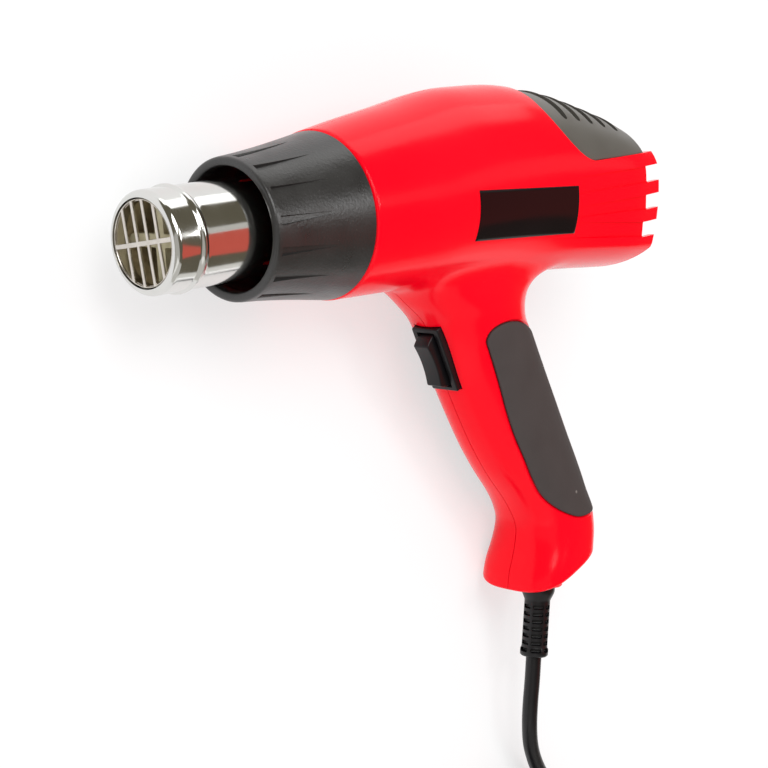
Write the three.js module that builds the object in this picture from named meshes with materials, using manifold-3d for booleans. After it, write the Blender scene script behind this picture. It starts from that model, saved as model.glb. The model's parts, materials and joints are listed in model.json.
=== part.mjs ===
// Hot air tool: a pistol-grip heat gun lying on its right side on a bench.
// The tool is drawn in its own frame: x runs back from the nozzle's mouth along the barrel axis,
// y runs up to the tool's top and z to its left side. The group at the end lays it on the bench.
// All lengths are millimetres and all angles degrees.

import * as THREE from 'three';
import { mergeVertices } from 'three/addons/utils/BufferGeometryUtils.js';
import loadManifold from 'manifold-3d';

const wasm = await loadManifold();
wasm.setup();

// Clearances
const GAP = 0.3; // between two pieces that seat on each other
const RUNNING_GAP = 0.4; // round a turning shaft or pin
const WELD = 1e-4; // vertices closer than this are one
const EASE = 0.04; // flat enough to be one face
const SINK = 0.6; // how deep a rib or boss runs into the wall that carries it

// Outlet tube, a standard nozzle size that push-on nozzles fit
const TUBE_R = 17.25;
const TUBE_WALL = 0.8;
const TUBE_PROUD = 36.5; // bare length in front of the collar
const TUBE_LIP_R = 2.4; // rolled front edge
const BEAD_X = 11.6;
const BEAD_HALF_WIDTH = 1.9;
const BEAD_HEIGHT = 0.9;
const FLANGE_RISE = 5.6;
const FLANGE_THICKNESS = 1.2;
const TUBE_SIDES = 32;
const INNER_SIDES = 24; // of round pieces inside

// Pressed grille in the tube's mouth
const GRILLE_SHEET = 0.8;
const GRILLE_DEPTH = 4.2;
const GRILLE_RING = 1.5;
const GRILLE_CROSS_BAR = 1.9;
const GRILLE_BAR = 1.1;
const GRILLE_BARS = 5;
const GRILLE_BAR_PITCH = 4.5;
const GRILLE_TURN = 5;

// Heater inside the tube
const SLEEVE_WALL = 0.5;
const SLEEVE_BACK = 6.5; // behind the mouth
const CORE_HUB_R = 3.4;
const CORE_RIB_WIDTH = 4.4;
const CORE_RIBS = 4;
const CORE_SPIDER = 3;
const WIRE_R = 1;
const WIRE_TURNS = 14;
const WIRE_STEPS = 8; // straight steps in a turn
const WIRE_SIDES = 4;
const WIRE_LIFT = 4.2; // from the winding's outside to the sleeve
const HEATER_BASE_THICKNESS = 2.6;
const HEATER_BASE_HOLES = 6;
const HEATER_BASE_HOLE_R = 3.2;

// Heat guard collar, twisted on to three lugs
const COLLAR_LENGTH = 41.5;
const COLLAR_MOUTH_GAP = 4.05; // from the tube to the collar's mouth
const COLLAR_RIM = 3.3; // breadth of the front rim
const COLLAR_WALL = 1.9;
const COLLAR_FLARE = 5.2;
const COLLAR_FLARE_POWER = 1.35;
const COLLAR_RIM_ROUND = 1.1;
const COLLAR_FOOT = 4; // inner ring at the back that rides on the neck
const COLLAR_SIDES = 28;
const GROOVES = 15;
const GROOVE_FIRST = -8.2; // turn of the first one from the left side
const GROOVE_LENGTH = 27;
const GROOVE_WIDTH = 3.2;
const GROOVE_DEPTH = 1.15;
const GROOVE_SETBACK = 2.4;
const LUGS = 3;
const LUG_WIDTH = 3;
const LUG_SPREAD = 13; // degrees
const LUG_FIRST = 45;
const COLLAR_TWIST = 30; // degrees from locked to free
const LUG_BACK = 10; // from the collar's back edge to the lugs' middle

// Neck of the housing inside the collar
const NECK_WALL = 1.8;
const NECK_AIR = 3.75; // from the tube to the neck
const NECK_LENGTH = 32;
const FINGERS = 9;
const FINGER_SLOT = 6;
const FINGER_LENGTH = 13;

// Barrel of the housing
const BODY_LENGTH = 163.3;
const BODY_WALL = 2.4;
const SIDE_SWELL = 4.2; // half-width over the collar's back radius
const TAIL_PINCH = 2.6; // half-width lost at the tail
const TOP_SWELL = 8.4;
const TAIL_TOP_FALL = 10.4;
const TAIL_BELLY_DROP = 9.6;
const CREASE_DROP_SHARE = 0.76; // the lower side crease at the tail, as a share of the belly's depth
const CREASE_RISE_SHARE = 0.245; // what that share loses from the tail to the front
const CREASE_WIDTH_SHARE = 0.93;
const CREASE_ANGLE = 50; // where the crease lies round the section
const CREASE_START = 0.22; // share of the barrel where it begins
const RING_STEP = 10; // degrees between points of an outer section
const INNER_RING_STEP = 18; // and of a section inside
const FRONT_WALL = 2.8;
const BULKHEAD_LENGTH = 10;

// Tail with its prongs and flutes
const PRONG_TOP = 7.9;
const PRONG_WIDTH = 4.7;
const PRONG_PITCH = 11.2;
const PRONG_DEPTH = 9.2;
const NOTCHES = 3;
const TAIL_ROUND_R = 99; // the prong tips lie on an arc in side view
const TAIL_ROUND_DROP = 4; // of the arc's middle below the barrel axis
const FLUTE_DEPTH = 1;
const FLUTE_LENGTH = 74;

// Vent cover on the tail's top
const COVER_SHELF = 8.6; // height of its lower edge over the barrel axis
const COVER_SETBACK = 7.5; // from its back edge to the prong tips
const COVER_LENGTH = 54;
const COVER_SLOPE_LENGTH = 19.5; // of the curved front edge
const COVER_RECESS = 0.5;
const COVER_WALL = 2;
const VENT_SLOTS = 5;
const VENT_SLOT_WIDTH = 3.4;
const VENT_SLOT_PITCH = 8.1;
const VENT_SLOT_HALF_LENGTH = 24.2;
const VENT_SLOT_FIRST = 10.5; // from the cover's front edge at the top

// Handle
const HANDLE_DROP = 163; // from the barrel axis to the pommel's sole
const HANDLE_X = 160; // reference line square to the barrel axis
const HANDLE_HALF_WIDTH = 18.4;
const HANDLE_ROOT_FLARE = 7;
const POMMEL_FLARE = 3.2;
const HANDLE_WALL = 3.4;
const HANDLE_ROOT = 24; // depth at which the handle's section starts, inside the barrel
const HANDLE_SIDES = 28;
const HANDLE_INNER_SIDES = 16;
const SOLE_RISE = 10.5; // degrees the sole climbs to the back
const SOLE_RISE_START = 0.75; // share of the drop where sections begin to tilt to it

// Grip pads let into the handle
const PAD_THICKNESS = 1.6;
const PAD_PROUD = 0.3;
const PAD_EDGE = [ // its front edge: how far down, and how far behind the handle's front, as shares of the drop
  [0.331, 0.0767], [0.448, 0.065], [0.595, 0.0577], [0.724, 0.0626], [0.779, 0.0736], [0.82, 0.0982], [0.8405, 0.1656],
];
const PAD_TOP = 0.298; // its top, its corner at the handle's back and its foot, down the drop
const PAD_HEEL = 0.374;
const PAD_FOOT = 0.8345;

// Rocker switch
const SWITCH_DROP = 60.8;
const SWITCH_RAKE = 21.8;
const BEZEL_WIDTH = 12.9;
const BEZEL_LENGTH = 27.4;
const BEZEL_PROUD = 1.6;
const BEZEL_SUNK = 2.2;
const SWITCH_CASE_WIDTH = 10.4;
const SWITCH_CASE_LENGTH = 24.6;
const SWITCH_CASE_DEPTH = 22;
const ROCKER_WIDTH = 7.2;
const ROCKER_R = 11.3; // from the pivot to the nose
const ROCKER_NOSE_ANGLE = 50; // of the nose from the way out
const ROCKER_HOLLOW = 1;
const ROCKER_BACK = 2.4;
const ROCKER_PIVOT_DEPTH = 1;
const ROCKER_SWING = 10; // to either side of off
const ROCKER_PIN_R = 1.2;
const ROCKER_PIN_REACH = 0.7;

// Blower
const DUCT_WALL = 1.6;
const DUCT_RIB = 2.2; // from the duct to the barrel's inner wall at the side
const DUCT_MOUTH_RISE = 4; // over the tube's radius
const DUCT_START = 1; // behind the bulkhead
const DUCT_BACK = 40; // in front of the prong tips
const DUCT_CONE_END = 34; // length of the duct's straight back end
const CARRIER_RIB = 2.4;
const CARRIER_FRONT = 8; // behind the duct's front edge
const CARRIER_BACK = 16; // in front of the duct's back edge
const FAN_TIP_GAP = 1.4;
const FAN_LENGTH = 15;
const FAN_SETBACK = 1; // from the fan's back to the duct's back edge
const FAN_HUB_R = 7;
const FAN_BLADES = 9;
const FAN_BLADE_THICKNESS = 1.3;
const FAN_PITCH_ROOT = 38; // blade angle from the axis at the hub
const FAN_PITCH_TIP = 62;
const FAN_ROOT_CHORD = 12;
const FAN_TIP_CHORD = 15;
const SHAFT_R = 1.5;
const SHAFT_IN_MOTOR = 12;
const MOTOR_R = 17.5;
const MOTOR_LENGTH = 40;
const MOTOR_TO_FAN = 9;
const MOTOR_BOSS_R = 5.5;
const MOTOR_BOSS_LENGTH = 3;
const MOTOR_CAP_LENGTH = 9;
const CRADLE_WALL = 1.6;
const CRADLE_LENGTH = 18;
const CRADLE_SPOKES = 4;
const CRADLE_SPOKE = 2.2;
const INLET_RECESS = 21;
const INLET_THICKNESS = 2.4;
const INLET_PLAY = 0.9; // all round, between it and the walls
const INLET_FRAME = 4; // above the highest slot and below the lowest
const INLET_SLOTS = 8;
const INLET_SLOT = 3.2;
const INLET_SLOT_SHARE = 0.75; // of the plate's width that a slot takes

// Supply board in the handle
const BOARD_LENGTH = 34;
const BOARD_WIDTH = 16;
const BOARD_THICKNESS = 1.6;
const BOARD_DROP = 92;
const BOARD_RAKE = 25;
const BOARD_POST_R = 2.2;
const DIODE_LENGTH = 6;
const DIODE_R = 1.6;
const CAPACITOR_R = 5;
const CAPACITOR_HEIGHT = 8;

// Screws and their bosses
const BOSS_R = 3.4;
const BOSS_FRONT = 34; // behind the barrel's front edge
const BOSS_TAIL = 12; // in front of the prong tips
const BOSS_DROPS = [0.374, 0.681, 0.92].map((share) => share * HANDLE_DROP); // of those in the handle
const SCREW_R = 1.45;
const SCREW_HEAD_R = 2.7;
const SCREW_HEAD = 2;
const SCREW_GRIP = 6; // boss length under the head
const SCREW_BITE = 8; // thread length in the left half

// Lead, its boot and its clamp
const LEAD_R = 3.2;
const LEAD_LEAN = 10; // degrees forward of straight down
const LEAD_X = 192; // where it leaves the sole
const EXIT_BOSS_R = 9.5;
const EXIT_BOSS_LENGTH = 5.6; // outside the sole
const EXIT_BOSS_SEAT = 7; // inside it
const BOOT_LENGTH = 30.5;
const BOOT_R = 5.3;
const BOOT_NECK_R = 6.9;
const BOOT_FLANGE_R = 8;
const BOOT_FLANGE = 2.4;
const BOOT_ROWS = 7;
const BOOT_SLOT = 1.7;
const BOOT_ROW_PITCH = 3;
const BOOT_FIRST_ROW = 8.5;
const BOOT_CORE_R = 3.6;
const CLAMP_UP = 16; // from the sole to the clamp along the lead
const CLAMP_LENGTH = 22;
const CLAMP_WIDTH = 7;
const CLAMP_THICKNESS = 3;
const CLAMP_SCREW_SPACING = 15;
const CLAMP_POST_R = 3;
const LEAD_END_PAST_CLAMP = 9;

// Free lead: from the boot down to the bench and into a coil that is tied for storage, with its plug
const LEAD_SIDES = 10;
const LEAD_STEPS = 14;
const LEAD_ROUTE = [ // along x and y from the boot's end, and height over the bench
  [-1.9, -10.8, 17], [-3.2, -19, 16], [-3.4, -29, 14.2], [-1.2, -39, 11.6], [3.2, -48.5, 9.2], [9, -57.5, 7.2],
  [15, -66.5, 5.8], [20, -76, 5.1], [23.2, -86, 4.8], [24.5, -94, 4.8], [24.8, -100, 4.8],
];
const COIL_TURNS = 6.25;
const COIL_STEPS = 20; // straight steps in a turn
const COIL_SIDES = 5;
const COIL_INNER_R = 28.2; // of the innermost turn's middle
const COIL_CLEARANCE = 0.5; // between turns and between layers
const COIL_END_RUN = 14; // straight cord from the last turn to the plug
const TIE_THICKNESS = 1.2;
const TIE_WIDTH = 8;
const TIE_ANGLE = 135;
const TIE_PLAY = 1; // for the turns' bend inside the tie
const PLUG_BOOT_LENGTH = 14;
const PLUG_BOOT_R = 4.2;
const PLUG_LENGTH = 34;
const PLUG_HALF_THICKNESS = 7;
const PIN_R = 2.3;
const PIN_LENGTH = 19;
const PIN_SPACING = 19;

// Solids

/** A closed three.js geometry as a solid with its faces outwards. */
function solid(geometry) {
  const bare = new THREE.BufferGeometry();
  bare.setAttribute('position', geometry.getAttribute('position').clone());
  bare.setIndex(geometry.index);
  const merged = mergeVertices(bare, WELD);
  const place = merged.getAttribute('position');
  const [a, b, c] = [new THREE.Vector3(), new THREE.Vector3(), new THREE.Vector3()];
  const triangles = [];
  let volume = 0;
  for (let i = 0; i < merged.index.count; i += 3) {
    const corners = [0, 1, 2].map((k) => merged.index.getX(i + k));
    if (new Set(corners).size < 3) continue;
    triangles.push(...corners);
    [a, b, c].forEach((point, k) => point.fromBufferAttribute(place, corners[k]));
    volume += a.dot(b.cross(c));
  }
  if (volume < 0) triangles.reverse();
  const triVerts = new Uint32Array(triangles);
  return new wasm.Manifold(new wasm.Mesh({ numProp: 3, vertProperties: place.array, triVerts }));
}

/** A solid back as a three.js geometry. */
function geometryOf(made) {
  const { vertProperties, triVerts } = made.simplify(EASE).getMesh();
  const geometry = new THREE.BufferGeometry();
  geometry.setAttribute('position', new THREE.BufferAttribute(vertProperties, 3));
  geometry.setIndex(new THREE.BufferAttribute(triVerts, 1));
  const flat = geometry.toNonIndexed();
  flat.computeVertexNormals();
  return flat;
}

const join = (first, ...others) => others.reduce((sum, next) => sum.add(next), first);
const cut = (first, ...others) => others.reduce((rest, next) => rest.subtract(next), first);
const common = (first, ...others) => others.reduce((rest, next) => rest.intersect(next), first);
const radians = THREE.MathUtils.degToRad;

/** A turned solid about the barrel axis, from a closed profile of [x, radius] points. */
function revolve(profile, sides = TUBE_SIDES) {
  const points = profile.map(([x, r]) => new THREE.Vector2(Math.max(r, 0), x));
  if (profile[0][1] > 0) points.push(points[0].clone());
  return solid(new THREE.LatheGeometry(points, sides).rotateZ(-Math.PI / 2));
}

/** A block from its lowest and highest corners. */
function block(low, high) {
  const size = high.map((value, i) => value - low[i]);
  const middle = high.map((value, i) => (value + low[i]) / 2);
  return solid(new THREE.BoxGeometry(...size).translate(...middle));
}

/** A round bar along z. */
function pinAlongZ(x, y, radius, fromZ, toZ, sides = 12) {
  const bar = new THREE.CylinderGeometry(radius, radius, toZ - fromZ, sides).rotateX(Math.PI / 2);
  return solid(bar.translate(x, y, (fromZ + toZ) / 2));
}

/** A flat outline in x and y, drawn out along z. */
function plate(shape, fromZ, toZ, steps = 4) {
  const drawn = new THREE.ExtrudeGeometry(shape, {
    depth: toZ - fromZ, bevelEnabled: false, curveSegments: steps,
  });
  return solid(drawn.translate(0, 0, fromZ));
}

/** A skin through rings of equally many points, closed by a fan at each end. */
function loft(rings) {
  const count = rings[0].length;
  const points = rings.flat();
  const index = [];
  for (let ring = 0; ring < rings.length - 1; ring++) {
    for (let i = 0; i < count; i++) {
      const [a, b] = [ring * count + i, ring * count + ((i + 1) % count)];
      index.push(a, b, b + count, a, b + count, a + count);
    }
  }
  for (const [ring, turned] of [[0, true], [rings.length - 1, false]]) {
    const middle = new THREE.Vector3();
    rings[ring].forEach((point) => middle.addScaledVector(point, 1 / count));
    const tip = points.push(middle) - 1;
    for (let i = 0; i < count; i++) {
      const [a, b] = [ring * count + i, ring * count + ((i + 1) % count)];
      index.push(...(turned ? [tip, b, a] : [tip, a, b]));
    }
  }
  const geometry = new THREE.BufferGeometry().setFromPoints(points);
  return solid(geometry.setIndex(index));
}

/** A smooth curve through [at, value] knots that never overshoots them. */
function through(knots) {
  const rise = knots.slice(1).map(([at, value], i) => (value - knots[i][1]) / (at - knots[i][0]));
  const slope = knots.map((_, i) => {
    if (i === 0) return rise[0];
    if (i === rise.length) return rise[i - 1];
    return rise[i - 1] * rise[i] <= 0 ? 0 : (2 * rise[i - 1] * rise[i]) / (rise[i - 1] + rise[i]);
  });
  return (at) => {
    const held = THREE.MathUtils.clamp(at, knots[0][0], knots.at(-1)[0]);
    const next = knots.findIndex(([to], i) => i > 0 && held <= to);
    const [[from, low], [to, high]] = [knots[next - 1], knots[next]];
    const span = to - from;
    const s = (held - from) / span;
    return low * (1 + 2 * s) * (1 - s) ** 2 + high * s * s * (3 - 2 * s)
      + span * (slope[next - 1] * s * (1 - s) ** 2 + slope[next] * s * s * (s - 1));
  };
}

/** Numbers spread evenly from the first to the last, both included. */
const spread = (first, last, count) =>
  Array.from({ length: count }, (_, i) => first + ((last - first) * i) / (count - 1));

// Radii and stations worked out from the driving dimensions
const TUBE_INNER_R = TUBE_R - TUBE_WALL;
const NECK_INNER_R = TUBE_R + NECK_AIR;
const NECK_R = NECK_INNER_R + NECK_WALL;
const COLLAR_X = TUBE_PROUD;
const COLLAR_BACK_X = COLLAR_X + COLLAR_LENGTH;
const COLLAR_MOUTH_R = TUBE_R + COLLAR_MOUTH_GAP;
const COLLAR_FRONT_R = COLLAR_MOUTH_R + COLLAR_RIM;
const BODY_X = COLLAR_BACK_X + GAP;
const BODY_FRONT_R = COLLAR_FRONT_R + COLLAR_FLARE + GAP;
const BODY_HALF_WIDTH = BODY_FRONT_R + SIDE_SWELL;
const TAIL_X = BODY_X + BODY_LENGTH;
const REACH = HANDLE_DROP + BODY_HALF_WIDTH; // how far a cutting block runs past the tool
const NECK_X = BODY_X - NECK_LENGTH;
const BULKHEAD_X = BODY_X + FRONT_WALL;
const BULKHEAD_BACK_X = BULKHEAD_X + BULKHEAD_LENGTH;
const FLANGE_X = (BULKHEAD_X + BULKHEAD_BACK_X - FLANGE_THICKNESS) / 2;
const FLANGE_R = TUBE_R + FLANGE_RISE;
const TUBE_END_X = FLANGE_X + FLANGE_THICKNESS;

// Housing: a barrel and a handle, each a skin through smooth sections

const bodyTop = through([
  [0, BODY_FRONT_R], [0.1, BODY_FRONT_R + TOP_SWELL * 0.27], [0.2, BODY_FRONT_R + TOP_SWELL * 0.55],
  [0.43, BODY_FRONT_R + TOP_SWELL * 0.96], [0.55, BODY_FRONT_R + TOP_SWELL],
  [0.71, BODY_FRONT_R + TOP_SWELL * 0.68], [0.86, BODY_FRONT_R - TOP_SWELL * 0.18],
  [1, BODY_FRONT_R - TAIL_TOP_FALL],
]);
const bodyBelly = through([
  [0, BODY_FRONT_R], [0.2, BODY_FRONT_R + TAIL_BELLY_DROP * 0.12],
  [0.7, BODY_FRONT_R + TAIL_BELLY_DROP * 0.52], [1, BODY_FRONT_R + TAIL_BELLY_DROP],
]);
const bodySide = through([
  [0, BODY_FRONT_R], [0.12, BODY_FRONT_R + SIDE_SWELL * 0.5], [0.27, BODY_HALF_WIDTH],
  [0.88, BODY_HALF_WIDTH], [1, BODY_HALF_WIDTH - TAIL_PINCH],
]);

/** Half a section below the axis: [out, down] at an angle from the side to the belly, with its crease at a depth. */
function lowerSide(angle, side, belly, creaseDown, creased) {
  const turn = radians(angle);
  const round = [side * Math.cos(turn), belly * Math.sin(turn)];
  const creaseOut = side * CREASE_WIDTH_SHARE;
  let sharp;
  if (angle <= CREASE_ANGLE) {
    const way = angle / CREASE_ANGLE;
    sharp = [side - (side - creaseOut) * way * way, creaseDown * way];
  } else {
    const way = (angle - CREASE_ANGLE) / (90 - CREASE_ANGLE);
    sharp = [creaseOut * (1 - way), creaseDown + (belly - creaseDown) * Math.sin((way * Math.PI) / 2)];
  }
  return round.map((value, i) => THREE.MathUtils.lerp(value, sharp[i], creased));
}

/** One section of the barrel at x, drawn in by an inset. */
function bodyRing(x, inset, step = RING_STEP) {
  const share = THREE.MathUtils.clamp((x - BODY_X) / BODY_LENGTH, 0, 1);
  const [top, belly, side] = [bodyTop, bodyBelly, bodySide].map((curve) => curve(share) - inset);
  const creased = THREE.MathUtils.smoothstep(share, CREASE_START, 1);
  const creaseDown = belly * (CREASE_DROP_SHARE - CREASE_RISE_SHARE * (1 - share));
  const ring = [];
  for (let angle = 0; angle < 360; angle += step) {
    const turn = radians(angle);
    if (angle <= 180) {
      ring.push(new THREE.Vector3(x, top * Math.sin(turn), side * Math.cos(turn)));
      continue;
    }
    const [out, down] = lowerSide(angle <= 270 ? angle - 180 : 360 - angle, side, belly, creaseDown, creased);
    ring.push(new THREE.Vector3(x, -down, angle <= 270 ? -out : out));
  }
  return ring;
}

/** The barrel between two stations, drawn in by an inset. */
const body = (inset, fromX, toX, stations, step) =>
  loft(spread(fromX, toX, stations).map((x) => bodyRing(x, inset, step)));

/** How far the barrel's left side stands out at x and y. */
function sideAt(x, y) {
  const ring = bodyRing(x, 0).filter((point) => point.z >= 0).sort((p, q) => p.y - q.y);
  const next = Math.max(1, ring.findIndex((point) => point.y >= y));
  const [low, high] = [ring[next - 1], ring[next]];
  return THREE.MathUtils.lerp(low.z, high.z, (y - low.y) / (high.y - low.y));
}

const drops = (knots) => through(knots.map(([share, reach]) => [share * HANDLE_DROP, HANDLE_X + reach * HANDLE_DROP]));
const handleFront = drops([
  [0.147, -0.3313], [0.215, -0.2546], [0.288, -0.1748], [0.454, -0.1086], [0.6, -0.0368], [0.675, 0.008], [0.8, 0.0877],
  [0.847, 0.108], [0.902, 0.0994], [0.963, 0.0699], [0.985, 0.0699], [1, 0.0859],
]);
const handleBack = drops([
  [0.147, 0.3067], [0.202, 0.2239], [0.233, 0.1595], [0.27, 0.1313], [0.3, 0.1288], [0.343, 0.1491], [0.6, 0.2656],
  [0.773, 0.3313], [0.859, 0.3405], [0.933, 0.335], [0.982, 0.3252], [1, 0.3129],
]);
const handleSide = through([
  [HANDLE_ROOT, HANDLE_HALF_WIDTH + HANDLE_ROOT_FLARE],
  [0.2 * HANDLE_DROP, HANDLE_HALF_WIDTH + HANDLE_ROOT_FLARE * 0.6],
  [0.29 * HANDLE_DROP, HANDLE_HALF_WIDTH + HANDLE_ROOT_FLARE * 0.2],
  [0.61 * HANDLE_DROP, HANDLE_HALF_WIDTH], [0.75 * HANDLE_DROP, HANDLE_HALF_WIDTH],
  [0.87 * HANDLE_DROP, HANDLE_HALF_WIDTH + POMMEL_FLARE * 0.7],
  [0.95 * HANDLE_DROP, HANDLE_HALF_WIDTH + POMMEL_FLARE],
  [0.985 * HANDLE_DROP, HANDLE_HALF_WIDTH + POMMEL_FLARE * 0.8],
  [HANDLE_DROP, HANDLE_HALF_WIDTH + POMMEL_FLARE * 0.3],
]);
const handleSquareness = through([[HANDLE_ROOT, 2.1], [0.74 * HANDLE_DROP, 2.1], [HANDLE_DROP, 3]]);
const HANDLE_STATIONS = [0.147, 0.19, 0.225, 0.26, 0.3, 0.35, 0.46, 0.6, 0.71, 0.79, 0.84, 0.88, 0.92, 0.96, 0.985, 1];
const HANDLE_INNER_STATIONS = [0.147, 0.22, 0.3, 0.36, 0.6, 0.79, 0.87, 0.96, 1];

/** How much a section at a depth climbs towards the back, as a function of x. */
const soleClimb = (drop) => {
  const slope = Math.tan(radians(SOLE_RISE)) * THREE.MathUtils.smoothstep(drop / HANDLE_DROP, SOLE_RISE_START, 1);
  return (x) => (x - handleFront(drop)) * slope;
};

/** One section of the handle at a depth below the barrel axis, drawn in by an inset. */
function handleRing(drop, inset, sides) {
  const [front, back] = [handleFront(drop) + inset, handleBack(drop) - inset];
  const [half, side] = [(back - front) / 2, handleSide(drop) - inset];
  const power = 2 / handleSquareness(drop);
  const climb = soleClimb(drop);
  return spread(0, 360 - 360 / sides, sides).map((angle) => {
    const [along, across] = [Math.cos(radians(angle)), Math.sin(radians(angle))];
    const bend = (value) => Math.sign(value) * Math.abs(value) ** power;
    const x = (front + back) / 2 + half * bend(along);
    return new THREE.Vector3(x, climb(x) - drop, side * bend(across));
  });
}

/** The handle, drawn in by an inset. */
const handle = (inset) => loft(HANDLE_STATIONS.map((share) => handleRing(share * HANDLE_DROP, inset, HANDLE_SIDES)));

/** The hollow of the handle, drawn in by its wall. */
const handleHollow = () => loft(HANDLE_INNER_STATIONS.map((share) =>
  handleRing(share * (HANDLE_DROP - HANDLE_WALL), HANDLE_WALL, HANDLE_INNER_SIDES)));

// Places shared by the housing and what it holds

const DUCT_X = BULKHEAD_BACK_X + DUCT_START;
const DUCT_BACK_X = TAIL_X - DUCT_BACK;
const DUCT_R = BODY_HALF_WIDTH - BODY_WALL - DUCT_RIB;
const DUCT_FRONT_R = TUBE_R + DUCT_MOUTH_RISE;
const DUCT_CONE_X = DUCT_BACK_X - DUCT_CONE_END;
const FAN_BACK_X = DUCT_BACK_X - FAN_SETBACK;
const FAN_X = FAN_BACK_X - FAN_LENGTH;
const FAN_R = DUCT_R - DUCT_WALL - FAN_TIP_GAP;
const MOTOR_BACK_X = FAN_X - MOTOR_TO_FAN;
const MOTOR_X = MOTOR_BACK_X - MOTOR_LENGTH;
const INLET_X = TAIL_X - INLET_RECESS;

const BOSSES = [
  { x: BODY_X + BOSS_FRONT, y: bodyTop(BOSS_FRONT / BODY_LENGTH) - BODY_WALL - BOSS_R },
  { x: BODY_X + BOSS_FRONT, y: BOSS_R + SINK - bodyBelly(BOSS_FRONT / BODY_LENGTH) },
  { x: TAIL_X - BOSS_TAIL, y: BODY_WALL + BOSS_R + 1 - bodyBelly(1 - BOSS_TAIL / BODY_LENGTH) },
  { x: handleBack(BOSS_DROPS[0]) - HANDLE_WALL - 2 * BOSS_R, y: -BOSS_DROPS[0] },
  { x: handleBack(BOSS_DROPS[1]) - HANDLE_WALL - 2 * BOSS_R, y: -BOSS_DROPS[1] },
  { x: handleFront(BOSS_DROPS[2]) + HANDLE_WALL + BOSS_R, y: -BOSS_DROPS[2] },
];

const leadWay = new THREE.Vector3(-Math.sin(radians(LEAD_LEAN)), -Math.cos(radians(LEAD_LEAN)), 0);
const leadExit = new THREE.Vector3(LEAD_X, soleClimb(HANDLE_DROP)(LEAD_X) - HANDLE_DROP, 0);
const leadPoint = (along) => leadExit.clone().addScaledVector(leadWay, along);
const leadPose = new THREE.Matrix4().makeRotationZ(radians(90 - LEAD_LEAN) + Math.PI).setPosition(leadExit);
const clampMiddle = leadPoint(-CLAMP_UP);
const clampScrewPlaces = [-1, 1].map((side) => new THREE.Vector3(-leadWay.y, leadWay.x, 0)
  .multiplyScalar((side * CLAMP_SCREW_SPACING) / 2).add(clampMiddle));

const switchPose = new THREE.Matrix4().makeRotationZ(Math.PI + radians(SWITCH_RAKE))
  .setPosition(handleFront(SWITCH_DROP), -SWITCH_DROP, 0);
const boardPose = new THREE.Matrix4().makeRotationZ(radians(BOARD_RAKE))
  .setPosition((handleFront(BOARD_DROP) + handleBack(BOARD_DROP)) / 2, -BOARD_DROP, 0);

/** A solid moved by a matrix. */
const moved = (made, matrix) => made.transform(matrix.toArray());

/** The outline above which the tail's top is open for the vent cover, grown by a margin. */
function coverOutline(margin, backX) {
  const frontX = TAIL_X - COVER_SETBACK - COVER_LENGTH - margin;
  const shelfX = frontX + COVER_SLOPE_LENGTH;
  const shelf = COVER_SHELF - margin;
  const shape = new THREE.Shape();
  shape.moveTo(frontX, REACH);
  shape.lineTo(frontX, shelf + COVER_LENGTH * 0.41);
  shape.bezierCurveTo(frontX + 2, shelf + 12, shelfX - 9, shelf, shelfX, shelf);
  shape.lineTo(backX, shelf);
  shape.lineTo(backX, REACH);
  return shape;
}

/** The side outline of a grip pad, grown by a margin. */
function padOutline(margin) {
  const edge = PAD_EDGE.map(([share, behind]) => new THREE.Vector2(
    handleFront(share * HANDLE_DROP) + behind * HANDLE_DROP - margin, -share * HANDLE_DROP - margin * 0.5));
  const [top, heel, foot] = [PAD_TOP, PAD_HEEL, PAD_FOOT].map((share) => share * HANDLE_DROP);
  const [topFront, heelX] = [handleFront(top), handleBack(heel)];
  const [start, step] = [edge[0], heel - top];
  const shape = new THREE.Shape();
  shape.moveTo(start.x, start.y);
  shape.splineThru(edge.slice(1));
  shape.lineTo(handleBack(foot) + 2 * HANDLE_WALL, -foot - margin);
  shape.lineTo(heelX + 2 * HANDLE_WALL, -heel + margin);
  shape.bezierCurveTo(heelX - 0.3 * step, -heel + 0.4 * step + margin, handleBack(heel - step / 2) - 0.65 * step,
    -top + margin, topFront + 2 * step, -top + margin);
  shape.bezierCurveTo(topFront + 1.4 * step, -top + margin, start.x, -top + margin, start.x, start.y);
  return shape;
}

const leftHalf = block([-REACH, -2 * REACH, GAP / 2], [2 * REACH, REACH, REACH]);
const rightHalf = block([-REACH, -2 * REACH, -REACH], [2 * REACH, REACH, -GAP / 2]);

/** The two halves' outside, with the neck inside the collar and the lead's exit boss. */
function housingOutside() {
  const neck = revolve([
    [NECK_X, NECK_INNER_R - SINK], [NECK_X, NECK_R], [BULKHEAD_X, NECK_R], [BULKHEAD_X, NECK_INNER_R - SINK],
  ]);
  return join(body(0, BODY_X, TAIL_X, 14), handle(0), neck, exitBoss());
}

/** The short boss that the boot passes through, standing in and out of the sole. */
const exitBoss = () => moved(revolve([[-EXIT_BOSS_SEAT, 0], [-EXIT_BOSS_SEAT, EXIT_BOSS_R],
  [EXIT_BOSS_LENGTH - 1, EXIT_BOSS_R], [EXIT_BOSS_LENGTH, EXIT_BOSS_R - 1], [EXIT_BOSS_LENGTH, 0]], 24), leadPose);

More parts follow.
